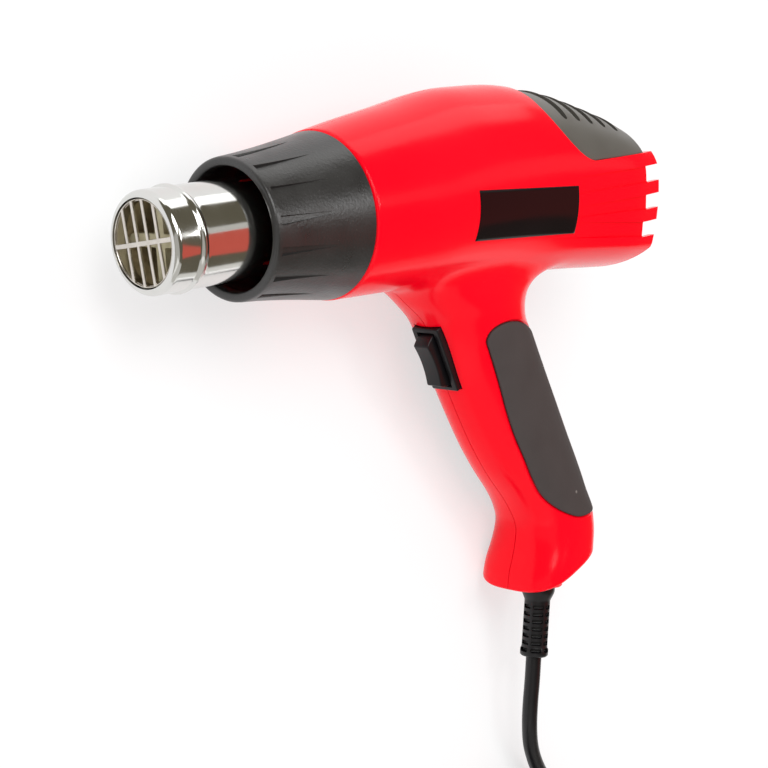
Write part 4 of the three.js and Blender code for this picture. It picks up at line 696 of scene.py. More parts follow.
# The finishes that solids of the record's material slots take.
SLOT_FINISHES = {
    finish.slot: finish
    for finish in (
        RED_ABS, GUARD_PA, CHROME, CERAMIC, WIRE, MICA, DUCT, ZINC, BLACK_PA, COVER_ABS, GRIP_TPE, BOARD,
        CORD_PVC,
    )
}


# Repeats


class Repeats:
    """Geometry Nodes trees that repeat a mesh by an even step and turn, or set one at points."""

    def __init__(self) -> None:
        """Builds both trees."""
        self.even = self._even_tree()
        self.placed = self._placed_tree()

    @staticmethod
    def _tree(name: str, inputs: Sequence[tuple[str, str]]) -> tuple[Tree, bpy.types.Node]:
        """Starts a tree.

        Args:
            name: Its name.
            inputs: Its inputs after the geometry, as names and socket types.

        Returns:
            The tree and its input node.
        """
        tree = bpy.data.node_groups.new(name, "GeometryNodeTree")
        for label, kind in (("Geometry", "NodeSocketGeometry"), *inputs):
            tree.interface.new_socket(label, in_out="INPUT", socket_type=kind)
        tree.interface.new_socket("Geometry", in_out="OUTPUT", socket_type="NodeSocketGeometry")
        return tree, put(tree, "NodeGroupInput", {}, {})

    @staticmethod
    def _close(tree: Tree, instances: Any, finish: Any) -> None:
        """Ends a tree with real geometry and its material.

        Args:
            tree: The tree.
            instances: The socket with the instances.
            finish: The socket with the material.
        """
        real = put(tree, "GeometryNodeRealizeInstances", {}, {"Geometry": instances})
        dressed = put(tree, "GeometryNodeSetMaterial", {}, {"Geometry": real.outputs[0], "Material": finish})
        put(tree, "NodeGroupOutput", {}, {"Geometry": dressed.outputs[0]})

    def _even_tree(self) -> Tree:
        """Builds the tree for even repeats.

        Returns:
            The tree.
        """
        inputs = [
            ("Count", "NodeSocketInt"), ("Step", "NodeSocketVector"), ("First turn", "NodeSocketFloat"),
            ("Turn", "NodeSocketFloat"), ("Finish", "NodeSocketMaterial"),
        ]
        tree, given = self._tree("repeat_evenly", inputs)
        feeds = {"Count": given.outputs["Count"], "Offset": given.outputs["Step"]}
        line = put(tree, "GeometryNodeMeshLine", {"mode": "OFFSET"}, feeds)
        index = put(tree, "GeometryNodeInputIndex", {}, {})
        step, first = given.outputs["Turn"], given.outputs["First turn"]
        turn = maths(tree, "MULTIPLY_ADD", index.outputs[0], step, first)
        about_x = put(tree, "ShaderNodeCombineXYZ", {}, {"X": turn}).outputs[0]
        rotation = put(tree, "FunctionNodeEulerToRotation", {}, {0: about_x}).outputs[0]
        feeds = {"Points": line.outputs[0], "Instance": given.outputs["Geometry"], "Rotation": rotation}
        set_out = put(tree, "GeometryNodeInstanceOnPoints", {}, feeds)
        self._close(tree, set_out.outputs[0], given.outputs["Finish"])
        return tree

    def _placed_tree(self) -> Tree:
        """Builds the tree that sets a piece at points.

        Returns:
            The tree.
        """
        inputs = [("Fastener", "NodeSocketObject"), ("Finish", "NodeSocketMaterial")]
        tree, given = self._tree("set_at_points", inputs)
        shape = put(tree, "GeometryNodeObjectInfo", {}, {"Object": given.outputs["Fastener"]})
        feeds = {"Points": given.outputs["Geometry"], "Instance": shape.outputs["Geometry"]}
        set_out = put(tree, "GeometryNodeInstanceOnPoints", {}, feeds)
        self._close(tree, set_out.outputs[0], given.outputs["Finish"])
        return tree

    @staticmethod
    def _apply(piece: Piece, tree: Tree, values: dict[str, Any]) -> Piece:
        """Runs a tree on a piece and keeps the result.

        Args:
            piece: The piece.
            tree: The tree.
            values: Its inputs by name.

        Returns:
            The piece.
        """
        modifier = piece.modifiers.new(tree.name, "NODES")
        modifier.node_group = tree
        for item in tree.interface.items_tree:
            if item.in_out == "INPUT" and item.name in values:
                modifier[item.identifier] = values[item.name]
        return bake(piece)

    def evenly(
        self, piece: Piece, finish: Finish, count: int, step: Sequence[float] = (0, 0, 0),
        first: float = 0, turn: float = 0,
    ) -> Piece:
        """Repeats a piece along a step and about the barrel axis.

        Args:
            piece: The piece.
            finish: Its finish.
            count: How many.
            step: From one to the next.
            first: The first one's turn about x, in degrees.
            turn: The turn from one to the next, in degrees.

        Returns:
            The piece.
        """
        values = {
            "Count": count, "Step": [float(v) for v in step], "First turn": math.radians(first),
            "Turn": math.radians(turn), "Finish": finish.material(),
        }
        return self._apply(piece, self.even, values)

    def at_points(self, name: str, fastener: Piece, finish: Finish, points: Array) -> Piece:
        """Sets a fastener at each of some points.

        Args:
            name: The new piece's name.
            fastener: The piece to set, which is used up.
            finish: Its finish.
            points: Where they go.

        Returns:
            The new piece.
        """
        piece = mesh_piece(name, points, [])
        self._apply(piece, self.placed, {"Fastener": fastener, "Finish": finish.material()})
        bpy.data.objects.remove(fastener)
        return piece


# The bench


@dataclass
class Bench:
    """How the tool lies on the bench, and the trees for what repeats on it."""

    roll: float
    middle: Triple
    repeats: Repeats = field(default_factory=Repeats)

    @classmethod
    def of(cls, frame: dict[str, Any]) -> "Bench":
        """Reads how the tool lies from the frame.


        Returns:
            The bench.
        """
        joints = {joint["name"]: joint for joint in frame["joints"]}
        across = joints["switch_rock"]["axis"]
        _, y, z = joints["guard_twist"]["pos_m"]
        return cls(math.atan2(-across[1], across[2]), (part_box("nozzle_tube")[0].x, y, z))

    @property
    def matrix(self) -> Matrix:
        """From the tool's frame in millimetres to the bench in metres."""
        return Matrix.Translation(self.middle) @ Matrix.Rotation(self.roll, 4, "X") @ Matrix.Scale(MM, 4)


@dataclass
class Fitting:
    """A sub-assembly that lays its finished pieces in the frame and tells the frame about them."""

    bench: Bench

    def show(
        self, piece: Piece, finish: Finish, nodes: Sequence[str] = (), skins: Sequence[Piece] = (),
        body: Body = Body.TOOL, sharp: float = 32, placed: bool = False,
    ) -> Piece:
        """Finishes a piece: shading, material, place, and what it stands for.

        Args:
            piece: The piece, in the tool's frame.
            finish: Its finish.
            nodes: The solids that it stands for.
            skins: Smooth skins that it was cut from, which give its surface its normals.
            body: The body that it rides on.
            sharp: The turn, in degrees, from which an edge stays sharp.
            placed: Whether it lies on the bench already.

        Returns:
            The piece.
        """
        mesh = piece.data
        mesh.materials.clear()
        mesh.materials.append(finish.material())
        if piece.type == "MESH":
            mesh.polygons.foreach_set("material_index", np.zeros(len(mesh.polygons), np.int32))
            mesh.polygons.foreach_set("use_smooth", np.ones(len(mesh.polygons), bool))
            mesh.set_sharp_from_angle(angle=math.radians(sharp))
        normals = skin_normals(piece, skins) if skins else None
        if not placed:
            mesh.transform(self.bench.matrix)
        if normals is not None:
            turn = np.array(Matrix.Rotation(self.bench.roll, 3, "X"))
            mesh.normals_split_custom_set((normals @ turn.T).tolist())
        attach(piece, body.value)
        if nodes:
            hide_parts(*nodes)
        LOG.info("%s: %d faces on %s", piece.name, len(getattr(mesh, "polygons", [])), body.value)
        return piece


def skin_normals(piece: Piece, skins: Sequence[Piece]) -> Array:
    """Reads a cut piece's normals from the smooth skins that it was cut from.

    Args:
        piece: The cut piece.
        skins: The skins, in the same frame.

    Returns:
        A normal for each corner: the skin's where a face lies on one, and its own elsewhere.
    """
    near, steep = 0.05, math.cos(math.radians(24))
    mesh = piece.data
    corners = np.array([c.vector for c in mesh.corner_normals], float)
    vertex_of = np.zeros(len(mesh.loops), int)
    mesh.loops.foreach_get("vertex_index", vertex_of)
    faces = np.repeat(np.arange(len(mesh.polygons)), [p.loop_total for p in mesh.polygons])
    face_normals = np.array([p.normal for p in mesh.polygons], float)[faces]
    for skin in skins:
        points, sides = skin.data.vertices, skin.data.polygons
        tree = BVHTree.FromPolygons([v.co for v in points], [p.vertices for p in sides])
        read = np.zeros((len(mesh.vertices), 3))
        for i, vertex in enumerate(mesh.vertices):
            spot, _, index, _ = tree.find_nearest(vertex.co, near)
            if spot is None:
                continue
            ring = [points[k] for k in sides[index].vertices]
            shares = poly_3d_calc([v.co for v in ring], spot)
            read[i] = sum((v.normal * s for v, s in zip(ring, shares)), Vector())
        found = unit(read)[vertex_of]
        fits = (found * face_normals).sum(1) > steep
        corners[fits] = found[fits]
    return corners


# Housing


@dataclass
class Barrel:
    """The barrel's outer form: sections round the axis, with a chine low on each side."""

    front_x: float = 78.3
    length: float = 163.3
    front_r: float = 30.1
    top_swell: float = 8.4
    top_fall: float = 10.4
    belly_drop: float = 9.6
    side_swell: float = 4.2
    tail_pinch: float = 2.6
    chine_drop: float = 0.76  # at the tail, as a share of the belly's depth
    chine_rise: float = 0.245  # what that share loses to the front
    chine_width: float = 0.93
    chine_angle: float = 50.0
    chine_start: float = 0.34
    belly_round: float = 0.42  # 0 for a flat belly under the chine, 1 for a round one
    front_round: float = 1.2
    wall: float = 2.4
    ease: float = 0.035

    def __post_init__(self) -> None:
        """Draws the top, belly and side lines along the barrel."""
        r, up, down, out = self.front_r, self.top_swell, self.belly_drop, self.side_swell
        top = [
            (0, r), (0.1, r + 0.33 * up), (0.2, r + 0.62 * up), (0.43, r + 1.2 * up), (0.55, r + 1.17 * up),
            (0.71, r + 0.72 * up), (0.86, r - 0.18 * up), (1, r - self.top_fall),
        ]
        belly = [(0, r), (0.2, r + 0.12 * down), (0.7, r + 0.52 * down), (1, r + down)]
        full = r + out
        side = [(0, r), (0.12, r + 0.5 * out), (0.27, full), (0.88, full), (1, full - self.tail_pinch)]
        self.top, self.belly, self.side = (eased(knots, self.ease) for knots in (top, belly, side))

    @property
    def tail_x(self) -> float:
        """Where the barrel ends."""
        return self.front_x + self.length

    def share(self, x: Any) -> Any:
        """How far along the barrel a station lies, from 0 to 1."""
        return (x - self.front_x) / self.length

    def top_at(self, x: Any) -> Any:
        """The top's height over the axis at a station."""
        return self.top(self.share(x))

    def points(self, x: Any, angle: Any, inset: float = 0.0) -> Array:
        """Gives points on the barrel.

        Args:
            x: Stations along the axis.
            angle: Angles round it in degrees, from the left side over the top.
            inset: How far the section is drawn in.

        Returns:
            The points.
        """
        x, angle = np.broadcast_arrays(np.asarray(x, float), np.asarray(angle, float) % 360)
        share = np.clip(self.share(x), 0, 1)
        edge = np.clip(1 - (x - self.front_x) / self.front_round, 0, 1)
        drawn = inset + self.front_round * (1 - np.sqrt(1 - edge**2))
        top, belly, side = self.top(share) - drawn, self.belly(share) - drawn, self.side(share) - drawn
        turn = np.radians(angle)
        low = np.where(angle <= 270, angle - 180, 360 - angle)
        chine = belly * (self.chine_drop - self.chine_rise * (1 - share))
        out, down = self.lower(low, side, belly, chine, smoothstep(share, self.chine_start, 1))
        upper = angle <= 180
        y = np.where(upper, top * np.sin(turn), -down)
        z = np.where(upper, side * np.cos(turn), np.where(angle <= 270, -out, out))
        return np.stack([x, y, z], -1)

    def lower(self, angle: Any, side: Any, belly: Any, chine: Any, creased: Any) -> tuple[Any, Any]:
        """Gives a section's lower quarter.

        Args:
            angle: Angles from the side down to the belly, in degrees.
            side: The section's half-width.
            belly: Its depth.
            chine: How deep its chine lies.
            creased: How much of the chine it shows, from 0 to 1.

        Returns:
            How far out and how far down the points lie.
        """
        turn = np.radians(angle)
        chine_out = side * self.chine_width
        up = np.clip(angle / self.chine_angle, 0, 1)
        under = np.clip((angle - self.chine_angle) / (90 - self.chine_angle), 0, 1)
        above = angle <= self.chine_angle
        round_out = self.belly_round * np.cos(under * np.pi / 2) + (1 - self.belly_round) * (1 - under)
        out = np.where(above, side - (side - chine_out) * up * up, chine_out * round_out)
        down = np.where(above, chine * up, chine + (belly - chine) * np.sin(under * np.pi / 2))
        return (
            side * np.cos(turn) * (1 - creased) + out * creased,
            belly * np.sin(turn) * (1 - creased) + down * creased,
        )

    def solid(self, name: str, inset: float, from_x: float, to_x: float, stations: int, step: float) -> Piece:
        """Makes the barrel between two stations.

        Args:
            name: Its name.
            inset: How far it is drawn in.
            from_x: Its front.
            to_x: Its back.
            stations: How many sections.
            step: Degrees between points of a section.

        Returns:
            The object.
        """
        rest = np.linspace(from_x, to_x, stations)
        edge = from_x + self.front_round * (1 - np.cos(quarter(6)))
        x = np.union1d(rest, edge)[:, None]
        return loft(name, self.points(x, np.arange(0, 360, step)[None, :], inset))

    def normals(self, spots: Array, angle: Array) -> Array:
        """Gives the barrel's outward normals.

        Args:
            spots: Points on the barrel.
            angle: The angles of their sections.

        Returns:
            The normals.
        """
        x = spots[:, 0]
        along = self.points(x + PROBE, angle) - self.points(x - PROBE, angle)
        around = self.points(x, angle + PROBE) - self.points(x, angle - PROBE)
        off = unit(np.cross(along, around))
        return off * np.sign((off * (spots * (0, 1, 1))).sum(1))[:, None]

    def under(self, x: Array, z: Array) -> tuple[Array, Array]:
        """Finds the belly below places that are seen from the top.

        Args:
            x: Stations.
            z: Distances to the left.

        Returns:
            The belly's y there, and the angle of its section.
        """
        table = np.arange(0, 90.5, 0.5)
        found = np.zeros((len(x), 2))
        for k, (at, out) in enumerate(zip(x, z)):
            ring = self.points(at, 180 + table)
            angle = np.interp(abs(out), -ring[::-1, 2], table[::-1])
            found[k] = np.interp(angle, table, ring[:, 1]), 180 + angle if out < 0 else 360 - angle
        return found[:, 0], found[:, 1]

    def left(self, x: Any, y: Any) -> Array:
        """Finds points on the barrel's left side.

        Args:
            x: Stations.
            y: Heights, of the same shape.

        Returns:
            The points.
        """
        table = np.arange(-88, 88.5, 0.5)
        x, y = np.broadcast_arrays(np.asarray(x, float), np.asarray(y, float))
        spots = []
        for at, height in zip(x.ravel(), y.ravel()):
            ring = self.points(at, table)
            spots.append((at, height, np.interp(height, ring[:, 1], ring[:, 2])))
        return np.array(spots).reshape(x.shape + (3,))


@dataclass
class Handle:
    """The handle's outer form: rounded sections down from the barrel to the pommel's sole."""

    drop: float = 163.0
    line_x: float = 160.0
    half_width: float = 18.4
    root_flare: float = 7.0
    pommel_flare: float = 2.45
    root: float = 24.0
    sole_rise: float = 18.0
    sole_start: float = 0.75
    sole_round: float = 1.8
    wall: float = 3.4
    ease: float = 3.0

    def __post_init__(self) -> None:
        """Draws the front, back and side lines down the handle."""
        end = (self.drop - self.sole_round) / self.drop
        front = [
            (0.147, -54), (0.215, -41.5), (0.288, -28.5), (0.454, -17.7), (0.6, -6), (0.675, 1.6),
            (0.8, 16.4), (0.847, 19.4), (0.902, 17.3), (0.963, 13.1), (end, 12.5),
        ]
        back = [
            (0.147, 50), (0.202, 36.5), (0.233, 26), (0.27, 21.4), (0.3, 21), (0.343, 24.3), (0.6, 43.3),
            (0.773, 54), (0.859, 56), (0.933, 55), (end, 52.5),
        ]
        w, f, p = self.half_width, self.root_flare, self.pommel_flare
        side = [
            (0.147, w + f), (0.2, w + 0.6 * f), (0.29, w + 0.2 * f), (0.61, w), (0.75, w),
            (0.87, w + 0.6 * p), (0.95, w + 0.9 * p), (end, w + p),
        ]
        self.front = eased([(s * self.drop, self.line_x + v) for s, v in front], self.ease)
        self.back = eased([(s * self.drop, self.line_x + v) for s, v in back], self.ease)
        self.side = eased([(s * self.drop, v) for s, v in side], self.ease)
        square = [(self.root, 2.1), (0.7 * self.drop, 2.1), (0.87 * self.drop, 2.35), (self.drop, 3)]
        self.squareness = through(square)

    def climb(self, drop: Any, x: Any) -> Any:
        """How much a section at a depth climbs towards the back."""
        share = smoothstep(np.asarray(drop) / self.drop, self.sole_start, 1)
        return (x - self.front(drop)) * (math.tan(math.radians(self.sole_rise)) * share)

    def points(self, drop: Any, angle: Any, grow: Any = 0.0) -> Array:
        """Gives points on the handle.

        Args:
            drop: Depths below the barrel axis.
            angle: Angles round a section in degrees, from the back over the left side.
            grow: How far the section is grown.

        Returns:
            The points.
        """
        drop, angle, grow = np.broadcast_arrays(*(np.asarray(v, float) for v in (drop, angle, grow)))
        late = np.clip((drop - self.drop + self.sole_round) / self.sole_round, 0, 1)
        grown = grow - self.sole_round * (1 - np.sqrt(1 - late**2))
        front, back = self.front(drop) - grown, self.back(drop) + grown
        power = 2 / self.squareness(drop)
        turn = np.radians(angle)
        x = (front + back) / 2 + (back - front) / 2 * bent(np.cos(turn), power)
        z = (self.side(drop) + grown) * bent(np.sin(turn), power)
        return np.stack([x, self.climb(drop, x) - drop, z], -1)

    def locate(self, x: Array, y: Array) -> tuple[Array, Array]:
        """Finds where a place in side view lies on the left side.

        Args:
            x: Places along the barrel axis.
            y: Heights.

        Returns:
            Depths and angles.
        """
        drop = -y
        for _ in range(8):
            drop = self.climb(drop, x) - y
        front, back = self.front(drop), self.back(drop)
        along = np.clip((x - (front + back) / 2) / ((back - front) / 2), -1, 1)
        return drop, np.degrees(np.arccos(bent(along, self.squareness(drop) / 2)))


@dataclass
class PadPatch:
    """The part of the handle's side that a grip pad covers, wrapped to the parting line at the back."""

    handle: Handle
    edge: Knots = (
        (34.0, 0.402), (22.5, 0.354), (16.2, 0.3335), (8.94, 0.3141), (2.05, 0.3029), (-3.19, 0.3006),
        (-7.59, 0.3044), (-11.22, 0.3153), (-12.7, 0.334), (-11.4, 0.3585), (-9.6, 0.3865), (-6.79, 0.4315),
        (-0.6, 0.532), (2.95, 0.5815), (8.4, 0.645), (13.64, 0.7044), (19.99, 0.7599), (28.27, 0.8027),
        (36.51, 0.8256), (44.25, 0.829), (66.0, 0.829),
    )  # x from the handle's line, and share of its depth, from its back over the top and down the front
    spokes: int = 150

    def outline(self) -> Array:
        """Draws the pad's edge in side view, from the handle's back over the top and down the front.

        Returns:
            Its points, evenly spaced.
        """
        form = self.handle
        line = along_points(np.array([(form.line_x + x, -s * form.drop) for x, s in self.edge]), 24)
        within = line[:, 0] < form.back(-line[:, 1])
        first, final = np.flatnonzero(within)[[0, -1]]
        line = line[first : final + 1]
        at = run_length(line)
        even = np.linspace(0, at[-1], self.spokes)
        return np.stack([np.interp(even, at, line[:, k]) for k in range(2)], -1)

    def solid(self, name: str, rim: Knots, back_angle: float, steps: int = 22) -> Piece:
        """Makes a solid over the patch on the left side.

        Args:
            name: Its name.
            rim: Its edge from the outer face to the inner one: growth of the outline, height over the handle.
            back_angle: The angle at which it ends at the handle's back, in degrees.
            steps: Steps from the back to the edge.

        Returns:
            The object.
        """
        line = self.outline()
        way = unit(np.gradient(line, axis=0))
        out = np.stack([way[:, 1], -way[:, 0]], -1)
        if (out[len(out) // 2] @ (line[len(line) // 2] - line.mean(0))) < 0:
            out = -out
        share = np.linspace(0, 1, self.spokes)[:, None]
        fan = np.linspace(0, 1, steps)[None, :] ** 0.8

        def face(grow: float, height: float, run: Array) -> Array:
            """Fans points from the back line to the grown outline.

            Args:
                grow: How far the outline is grown.
                height: How high the points lie over the handle.
                run: Shares of the way from the back line, for each spoke.

            Returns:
                The points, a row for each spoke.
            """
            drop, angle = self.handle.locate(*(line + grow * out).T)
            angle = np.maximum(angle, back_angle + 0.2)
            start = drop[0] + 0.6 + (drop[-1] - drop[0] - 1.2) * share
            drops = start + (drop[:, None] - start) * run
            return self.handle.points(drops, back_angle + (angle[:, None] - back_angle) * run, height)

        edge = np.ones((1, 1))
        outer, inner = face(*rim[0], fan), face(*rim[-1], fan[:, ::-1])
        return loft(name, np.concatenate([outer, *(face(*knot, edge) for knot in rim[1:-1]), inner], axis=1))


@dataclass
class Lead:
    """Where the lead leaves the sole, and the axis of what sits on it."""

    exit_x: float = 193.6
    lean: float = 10.0
    radius: float = 3.2
    boss_r: float = 9.8
    boss_out: float = 9.2
    boss_seat: float = 4.6
    boot_r: float = 5.3
    boot_length: float = 29.3

    def matrix(self, handle: Handle) -> Matrix:
        """From a frame with x down the lead's axis at the sole to the tool's frame."""
        spot = (self.exit_x, float(handle.climb(handle.drop, self.exit_x)) - handle.drop, 0)
        return Matrix.Translation(spot) @ Matrix.Rotation(math.radians(270 - self.lean), 4, "Z")


@dataclass
class Housing(Fitting):
    """The two red halves and their neck inside the guard."""

    barrel: Barrel
    handle: Handle
    lead: Lead
    neck_x: float = 46.3
    neck_inner_r: float = 21.0
    neck_r: float = 22.8
    neck_foot: float = 2.8  # how far the neck reaches into the barrel
    bulkhead: float = 12.8  # how far behind the barrel's front its room starts
    tube_hole_r: float = 17.55
    fingers: int = 5
    finger_first: float = -54.0
    finger_gap: float = 25.0
    finger_length: float = 18.0
    lugs: int = 3
    lug_lane: Pair = (66.2, 69.8)  # of the guard's lugs, along the axis
    lane_turn: Pair = (36.5, 83.5)
    entry_turn: Pair = (66.5, 83.5)
    entry_end: float = 69.5
    notches: Knots = ((3.2, -3.2), (-8.2, -14.0), (-18.9, -25.0))  # upper and lower edge at the tail
    flute_rise: Knots = ((0.0, 0.0), (0.0, 0.04), (0.11, 0.108))  # how much those edges climb forwards
    prong_depth: float = 9.2
    tail_half: float = 34.3  # how high over the axis its end is cut, and half as far again below
    tail_round_r: float = 80.0
    tail_round_drop: float = 3.0
    flute_depth: float = 1.0
    flute_length: float = 74.0
    boss_r: float = 3.4
    boss_bite: float = 0.6  # how far a boss reaches into the wall
    boss_front: float = 34.0  # behind the barrel's front
    boss_tail: float = 12.0  # before its tail
    boss_drops: Triple = (0.374, 0.681, 0.92)  # as shares of the handle's depth
    sole_boss_shift: float = 2.6  # keeps the lowest screw's hole inside the pommel's front
    head_r: float = 2.7
    head_seat: float = -6.15
    shank_hole_r: float = 1.75
    shank_end: float = 8.3
    pad_lip: float = 0.7
    pad_seat: float = 1.6
    pad_wrap: float = -4.0  # how far round the back the pads' recesses reach, in degrees
    run_out: Pair = (5.0, 8.0)  # of the handle on to the barrel, and what the sides add
    run_down: Pair = (8.0, 11.0)  # of the barrel on to the handle, and what the sides add
    run_wide: float = 16.0  # half width over which the run-out is held below the chine
    run_spread: float = 8.0  # how much wider than that it can get
    run_pull: float = 0.45  # how long it follows the form that it leaves, as a share of its length
    run_sink: float = 0.03  # how far its start lies under the barrel's surface
    run_roots: Knots = ((4.0, 3.0), (3.0, 0.6), (1.5, 0.18))  # its roots: how far ahead of it, and how deep
    root_wide: float = 33.0

    def bosses(self) -> Array:
        """Places the screws in side view, three in the barrel and three in the handle.

        Returns:
            Their places.
        """
        barrel, handle, r = self.barrel, self.handle, self.boss_r
        front, tail = self.boss_front / barrel.length, 1 - self.boss_tail / barrel.length
        front_x = barrel.front_x + self.boss_front
        high, middle, low = (share * handle.drop for share in self.boss_drops)
        return np.array(
            [
                (front_x, barrel.top(front) - barrel.wall - r),
                (front_x, r + self.boss_bite - barrel.belly(front)),
                (barrel.tail_x - self.boss_tail, barrel.wall + r + 1 - barrel.belly(tail)),
                (handle.back(high) - handle.wall - 2 * r, -high),
                (handle.back(middle) - handle.wall - 2 * r, -middle),
                (handle.front(low) + handle.wall + r + self.sole_boss_shift, -low),
            ]
        )

    def meeting(self, angle: Array) -> Array:
        """Finds how deep the handle comes out of the barrel.

        Args:
            angle: Angles round the handle's section, in degrees.

        Returns:
            The depths below the barrel axis.
        """
        handle, deepest = self.handle, 70.0
        low, high = np.full(len(angle), handle.root), np.full(len(angle), deepest)
        for _ in range(30):
            drop = (low + high) / 2
            spot = handle.points(drop, angle)
            inside = spot[:, 1] > self.barrel.under(spot[:, 0], spot[:, 2])[0]
            low, high = np.where(inside, drop, low), np.where(inside, high, drop)
        return low

    def grip_skin(self) -> Piece:
        """Makes the handle with its soft run-out on to the barrel, as one skin.

        Returns:
            A solid whose outside leaves the barrel without a crease and runs on into the handle.
        """
        barrel, handle = self.barrel, self.handle
        angle = np.arange(0, 360, 3.75)
        meet = self.meeting(angle)
        corner = handle.points(meet, angle)
        way = handle.points(meet, angle + 1) - handle.points(meet, angle - 1)
        out = unit(np.stack([-way[:, 2], 0 * angle, way[:, 0]], -1))
        out *= np.sign((out * (corner - corner.mean(0))).sum(1))[:, None]
        swell = np.abs(np.sin(np.radians(angle)))
        start = corner + out * (self.run_out[0] + self.run_out[1] * swell)[:, None]
        wide = np.abs(start[:, 2]) - self.run_wide
        kept = self.run_wide + self.run_spread * np.tanh(wide / self.run_spread)
        start[:, 2] = np.where(wide > 0, np.sign(start[:, 2]) * kept, start[:, 2])
        start[:, 1], section = barrel.under(start[:, 0], start[:, 2])
        off = barrel.normals(start, section)
        leave = -out - off * (-out * off).sum(1)[:, None]
        end_drop = meet + self.run_down[0] + self.run_down[1] * swell
        end = handle.points(end_drop, angle)
        down = unit(handle.points(end_drop + PROBE, angle) - handle.points(end_drop - PROBE, angle))
        pull = self.run_pull * np.linalg.norm(end - start, axis=1, keepdims=True)
        strip = bezier(start - self.run_sink * off, start + pull * unit(leave), end - pull * down, end, 20)
        roots = []
        for ahead, depth in self.run_roots:
            spot = start + ahead * out
            spot[:, 2] = np.clip(spot[:, 2], -self.root_wide, self.root_wide)
            spot[:, 1] = barrel.under(spot[:, 0], spot[:, 2])[0]
            roots.append(spot - depth * off)
        edge = handle.drop - handle.sole_round
        share = np.linspace(0, 1, 76)[1:, None]
        sole = edge + handle.sole_round * np.sin(quarter(7))[1:, None]
        drops = np.concatenate([end_drop + (edge - end_drop) * share, sole + 0 * angle])
        return loft("grip_skin", np.concatenate([roots, strip, handle.points(drops, angle)]))

    def outside(self) -> tuple[Piece, list[Piece]]:
        """Joins the outside of barrel, handle, neck and the lead's boss.

        Returns:
            The joined piece, and its smooth skins.
        """
        barrel = self.barrel
        skins = [barrel.solid("barrel_skin", 0, barrel.front_x, barrel.tail_x, 74, 3), self.grip_skin()]
        x, r, inside = self.neck_x, self.neck_r, self.neck_inner_r - 0.6
        foot = barrel.front_x + self.neck_foot
        neck = turned("neck", [(x, inside), (x, r - 0.5), (x + 0.5, r), (foot, r), (foot, inside)], 72)
        piece = twin(skins[0], "housing_outside")
        work(piece, Way.JOIN, skins[1], keep=True)
        work(piece, Way.JOIN, neck, self.exit_boss())
        return piece, skins

    def exit_boss(self) -> Piece:
        """Makes the short boss that the boot passes through.

        Returns:
            The boss.
        """
        lead, seat, out, r = self.lead, -self.lead.boss_seat, self.lead.boss_out, self.lead.boss_r
        round_edge = [(out - 1 + math.sin(t), r - 1 + math.cos(t)) for t in quarter(5)]
        boss = turned("exit_boss", [(seat, 0), (seat, r), *round_edge, (out, 0)], 48)
        return moved(boss, lead.matrix(self.handle))

    def hollow(self, shell: Piece) -> Piece:
        """Hollows the housing and sets its screw bosses.

        Args:
            shell: The housing's outside.

        Returns:
            The hollow housing.
        """
        barrel, handle, bite = self.barrel, self.handle, self.boss_bite
        front, foot, back = self.neck_x - 1, barrel.front_x + self.neck_foot, barrel.front_x + self.bulkhead
        r, hole = self.neck_inner_r, self.tube_hole_r
        steps = [(front, 0), (front, r), (foot, r), (foot, hole), (back + 1, hole), (back + 1, 0)]
        bore = turned("bore", steps, 72)
        room = barrel.solid("barrel_room", barrel.wall, back, barrel.tail_x + 1, 40, 6)
        drop = np.linspace(handle.root, handle.drop - handle.wall, 40)[:, None]
        around = np.arange(0, 360, 7.5)[None, :]
        grip_room = loft("handle_room", handle.points(drop, around, -handle.wall))
        work(shell, Way.CUT, bore, room, grip_room)
        places = self.bosses()
        in_barrel = barrel.solid("within_barrel", barrel.wall - bite, back - bite, barrel.tail_x, 40, 6)
        edge = handle.drop - handle.sole_round * (1 - np.sin(quarter(7)))
        drop = np.union1d(np.linspace(handle.root, handle.drop, 40), edge)[:, None]
        in_handle = loft("within_handle", handle.points(drop, around, bite - handle.wall))
        for rows, form in ((places[:3], in_barrel), (places[3:], in_handle)):
            for spot in rows:
                post = self.pin("screw_boss", spot, self.boss_r, -FAR, FAR)
                work(post, Way.TRIM, form, keep=True)
                work(shell, Way.JOIN, post)
            bpy.data.objects.remove(form)
        return work(shell, Way.JOIN, self.exit_boss())

    @staticmethod
    def pin(name: str, spot: Sequence[float], radius: float, low: float, high: float) -> Piece:
        """Makes a round bar along z at a place in side view."""
        turn = np.linspace(0, 2 * np.pi, 28, endpoint=False)
        return prism(name, np.add(spot, radius * np.stack([np.cos(turn), np.sin(turn)], -1)), low, high)

    def tip_x(self, y: Any) -> Any:
        """Where the tail ends at a height."""
        return self.barrel.tail_x - (y + self.tail_round_drop) ** 2 / (2 * self.tail_round_r)

